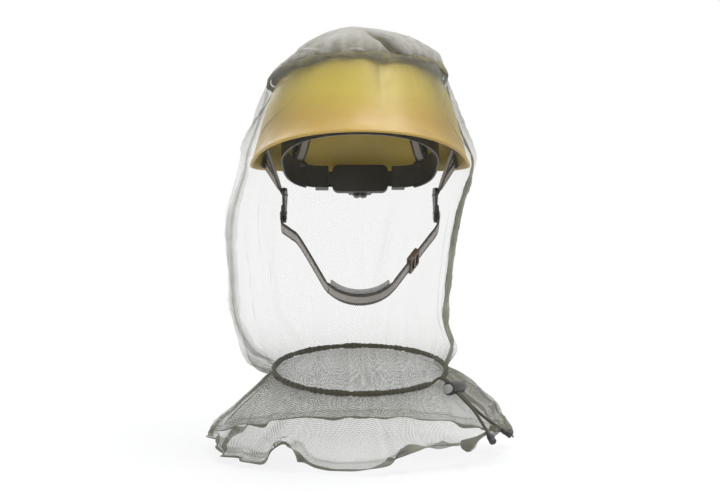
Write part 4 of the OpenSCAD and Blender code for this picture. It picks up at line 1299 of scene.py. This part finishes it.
class VEIL_OT_headband(bpy.types.Operator):
    """Builds the headband and the padded sweatband inside it"""

    bl_idname = "veil.headband"
    bl_label = "Headband"

    def execute(self, context):
        band = moulded("headband", "dark_plastic", 0.3)
        band.data.set_sharp_from_angle(angle=math.radians(30))
        half_high = (BAND_H - 5) / 2

        def along(x):
            a = 200 + 140 * x
            p = head_point(a, -1.35)
            round_it = (head_point(a + 0.5, -1.35) - head_point(a - 0.5, -1.35)).normalized()
            return p + UP * (1 + half_high), round_it.cross(UP), UP

        def seams(x):
            return peak((x * 16) % 1, 0.5, 0.07)

        bm = rounded_pad(along, 192, 1.3, half_high, seams)
        bm.transform(IN_HEADBAND)
        piece = new_piece("brow_pad", bm, "brow_knit", "sweatband")
        return {"FINISHED"}


class VEIL_OT_ratchet(bpy.types.Operator):
    """Builds the ratchet at the nape with its knob"""

    bl_idname = "veil.ratchet"
    bl_label = "Ratchet"

    def execute(self, context):
        for part, width in (("base", 0.3), ("cover", 0.5)):
            moulded("ratchet_" + part, "dark_plastic", width)
        moulded("ratchet_knob", "dark_plastic", 0.6, "knob")
        kept = {"rack_left": "dark_plastic", "rack_right": "dark_plastic",
                "ratchet_pinion": "pale_plastic", "ratchet_screw": "plated_steel"}
        for node, look in kept.items():
            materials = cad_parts[node].data.materials
            materials.clear()
            materials.append(finish(look)[0])
        return {"FINISHED"}


class VEIL_OT_chin_strap(bpy.types.Operator):
    """Builds the strap's legs, ear plates, chin webbing, chin rest and slide"""

    bl_idname = "veil.chin_strap"
    bl_label = "Chin Strap"

    def execute(self, context):
        for side in ("left", "right"):
            for node in ("leg_clip_front_", "leg_clip_rear_", "ear_plate_"):
                moulded(node + side, "dark_plastic", 0.35)
            moulded("pivot_rivet_" + side, "plated_steel", 0.4)
            moulded("strap_end_" + side, "dark_plastic", 0.4, "chin_strap")
            for end in ("front", "rear"):
                self.leg(end, side)
        moulded("strap_adjuster", "brown_plastic", 0.5, "strap_slide")
        self.webbing()
        self.rest()
        return {"FINISHED"}

    def leg(self, end, side):
        """Webbing from a clip inside the shell down to a slot of the ear plate."""
        foot_y, foot_z = CLIP_FEET[end]
        top = by_shell(*CLIP_PLACES[end], -6.5, -5.1)
        low = Vector((EAR_FACE_X, foot_y, foot_z + 1.4))
        run = (top - low).normalized()
        face = (RIGHT - RIGHT.dot(run) * run).normalized()
        wide = run.cross(face)
        path = [Vector((72.2, foot_y, foot_z)), Vector((74.8, foot_y, foot_z)),
                Vector((EAR_FACE_X - 0.2, foot_y, foot_z + 0.4)), low, low.lerp(top, 0.5), top]
        across = Vector((0, 1, 0))
        if wide.y < 0:
            wide = -wide
        path = smooth_line(path, 1.6)
        turn_over = [across.lerp(wide, min(1, max(0, (p.z - foot_z) / 12))).normalized() for p in path]
        if side == "right":
            path = [Vector((-p.x, p.y, p.z)) for p in path]
            turn_over = [Vector((-w.x, w.y, w.z)) for w in turn_over]
        ribbon(f"{end}_strap_leg_{side}", f"{end}_leg_{side}", path, turn_over, 12, 1.3,
               "narrow_webbing")

    def webbing(self):
        """The webbing from ear to ear, flat in its own plane until it is put in place."""
        chin = Vector((0, CHIN_REACH - CHIN_R, 0))
        knee = Vector((*KNEE, 0))
        reach = knee - chin
        touch = math.degrees(math.atan2(reach.y, reach.x) + math.acos(CHIN_R / reach.length))
        half = [Vector((END_X, 8, 0)), Vector((76.4, 15.5, 0)), Vector((73, 23, 0)), knee]
        for k in range(9):
            cos_k, sin_k = turned(touch + (90 - touch) * k / 8)
            half.append(chin + CHIN_R * Vector((cos_k, sin_k, 0)))
        right = half[:2] + [Vector((*p, 0)) for p in RIGHT_BEND] + half[4:-1]
        whole = half + [Vector((-p.x, p.y, 0)) for p in right[::-1]]
        ribbon("chin_strap_webbing", "chin_webbing", smooth_line(whole, 2.2), UP, WEB_W, WEB_T - 0.1,
               "strap_webbing", "chin_strap", IN_STRAP)

    def rest(self):
        """The soft cup under the chin, with a bound edge and two rows of stitching."""
        chin = Vector((0, CHIN_REACH - CHIN_R, 0))
        middle_r = CHIN_R - WEB_T / 2 - 1.7 + 0.1

        def along(x):
            cos_a, sin_a = turned(42 + 96 * x)
            out = Vector((cos_a, sin_a, 0))
            return chin + middle_r * out, out, UP

        def seams(x):
            return sum(peak(x, k, 0.012) for k in (0.12, 0.5, 0.88))

        bm = rounded_pad(along, 84, 1.7, (WEB_W + 9) / 2, seams)
        bm.transform(IN_STRAP)
        piece = new_piece("chin_cushion", bm, "chin_knit", "chin_rest", "chin_strap")


class VEIL_OT_stage(bpy.types.Operator):
    """Sets up the floor, the lamps and the plain white surroundings"""

    bl_idname = "veil.stage"
    bl_label = "Stage"

    def execute(self, context):
        scene = context.scene
        scene.view_settings.view_transform = "Standard"
        self.floor()
        power = scene.veil_stage.key_power
        lamps = [("key_lamp", (0.7, -0.62, 1.3), 0.9, power, 1.0),
                 ("top_lamp", (0.35, 0.35, 1.5), 1.0, power * 0.8, 1.0),
                 ("fill_lamp", (-1.2, -1.3, 0.4), 1.4, power * 0.6, 0.25),
                 ("back_lamp", (-0.5, 1.4, 0.9), 1.2, power * 0.6, 0.5)]
        for name, where, size, watts, gloss in lamps:
            data = bpy.data.lights.new(name, "AREA")
            data.shape, data.size, data.energy, data.specular_factor = "DISK", size, watts, gloss
            lamp = bpy.data.objects.new(name, data)
            lamp.location = where
            aim = Vector((0, 0, -0.05)) - Vector(where)
            lamp.rotation_euler = aim.to_track_quat("-Z", "Y").to_euler()
            scene.collection.objects.link(lamp)
        self.surroundings(scene)
        return {"FINISHED"}

    def seen(self, look):
        """1 for what the camera, a reflection or a glass sees, 0 for what lights the object."""
        path = look.node("ShaderNodeLightPath", output="Is Camera Ray")
        return path.larger(path.other("Is Glossy Ray")).larger(path.other("Is Transmission Ray"))

    def floor(self):
        """A white floor that darkens a little under the object."""
        bm = bmesh.new()
        bmesh.ops.create_grid(bm, x_segments=1, y_segments=1, size=4)
        bmesh.ops.translate(bm, vec=(0, 0, min(CAD_BOX[0][2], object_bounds()[0][2])), verts=bm.verts)
        mesh = bpy.data.meshes.new("floor")
        bm.to_mesh(mesh)
        bm.free()
        floor = bpy.data.objects.new("floor", mesh)
        bpy.context.scene.collection.objects.link(floor)
        look = Finish("floor_white")
        matt = look.node("ShaderNodeBsdfDiffuse", {}, {"Color": (0.8, 0.8, 0.8, 1)})
        white = look.node("ShaderNodeEmission", {}, {"Color": (1, 1, 1, 1), "Strength": 1.0})
        far = look.node("ShaderNodeVectorMath", {"operation": "LENGTH"}, {0: look.object_place()},
                        "Value")
        share = self.seen(look) * (0.78 + far.stepped(0.35, 1.0) * 0.22)
        look.node_end(look.node("ShaderNodeMixShader", {}, {0: share, 1: matt, 2: white}))
        mesh.materials.append(look.material)
        floor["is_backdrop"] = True

    def surroundings(self, scene):
        """White to the camera, and a soft cool light to everything else."""
        world = bpy.data.worlds.new("white_room")
        scene.world = world
        world.use_nodes = True
        look = Finish.__new__(Finish)
        look.tree = world.node_tree
        look.tree.nodes.clear()
        lit = look.node("ShaderNodeBackground", {}, {"Color": (0.9, 0.95, 1, 1), "Strength": 0.55})
        white = look.node("ShaderNodeBackground", {}, {"Color": (1, 1, 1, 1), "Strength": 1.0})
        mix = look.node("ShaderNodeMixShader", {}, {0: self.seen(look), 1: lit, 2: white})
        end = look.tree.nodes.new("ShaderNodeOutputWorld")
        look.tree.links.new(mix.socket, end.inputs["Surface"])


class VEIL_PT_panel(bpy.types.Panel):
    """Sizes, colours and the steps that build the veil"""

    bl_idname = "VEIL_PT_panel"
    bl_label = "Beekeeping Veil"
    bl_space_type = "VIEW_3D"
    bl_region_type = "UI"
    bl_category = "Veil"

    def draw(self, context):
        for settings in ("veil_cloth", "veil_colours", "veil_stage"):
            group = getattr(context.scene, settings)
            box = self.layout.box()
            for name in group.__annotations__:
                box.prop(group, name)
        for step in STEPS:
            self.layout.operator(step.bl_idname)


STEPS = [VEIL_OT_camera, VEIL_OT_drawcord, VEIL_OT_netting, VEIL_OT_crown, VEIL_OT_neck, VEIL_OT_skirt,
         VEIL_OT_cord_lock, VEIL_OT_helmet, VEIL_OT_crown_harness, VEIL_OT_headband, VEIL_OT_ratchet,
         VEIL_OT_chin_strap, VEIL_OT_stage]
GROUPS = {"veil_cloth": VeilCloth, "veil_colours": VeilColours, "veil_stage": VeilStage}


def register():
    for group in GROUPS.values():
        bpy.utils.register_class(group)
    for name, group in GROUPS.items():
        setattr(bpy.types.Scene, name, PointerProperty(type=group))
    for step in STEPS:
        bpy.utils.register_class(step)
    bpy.utils.register_class(VEIL_PT_panel)


def unregister():
    bpy.utils.unregister_class(VEIL_PT_panel)
    for step in reversed(STEPS):
        bpy.utils.unregister_class(step)
    for name, group in GROUPS.items():
        delattr(bpy.types.Scene, name)
        bpy.utils.unregister_class(group)


def main():
    """Builds every piece in order."""
    register()
    for step in STEPS:
        area, name = step.bl_idname.split(".")
        getattr(getattr(bpy.ops, area), name)()


if __name__ == "__main__":
    main()
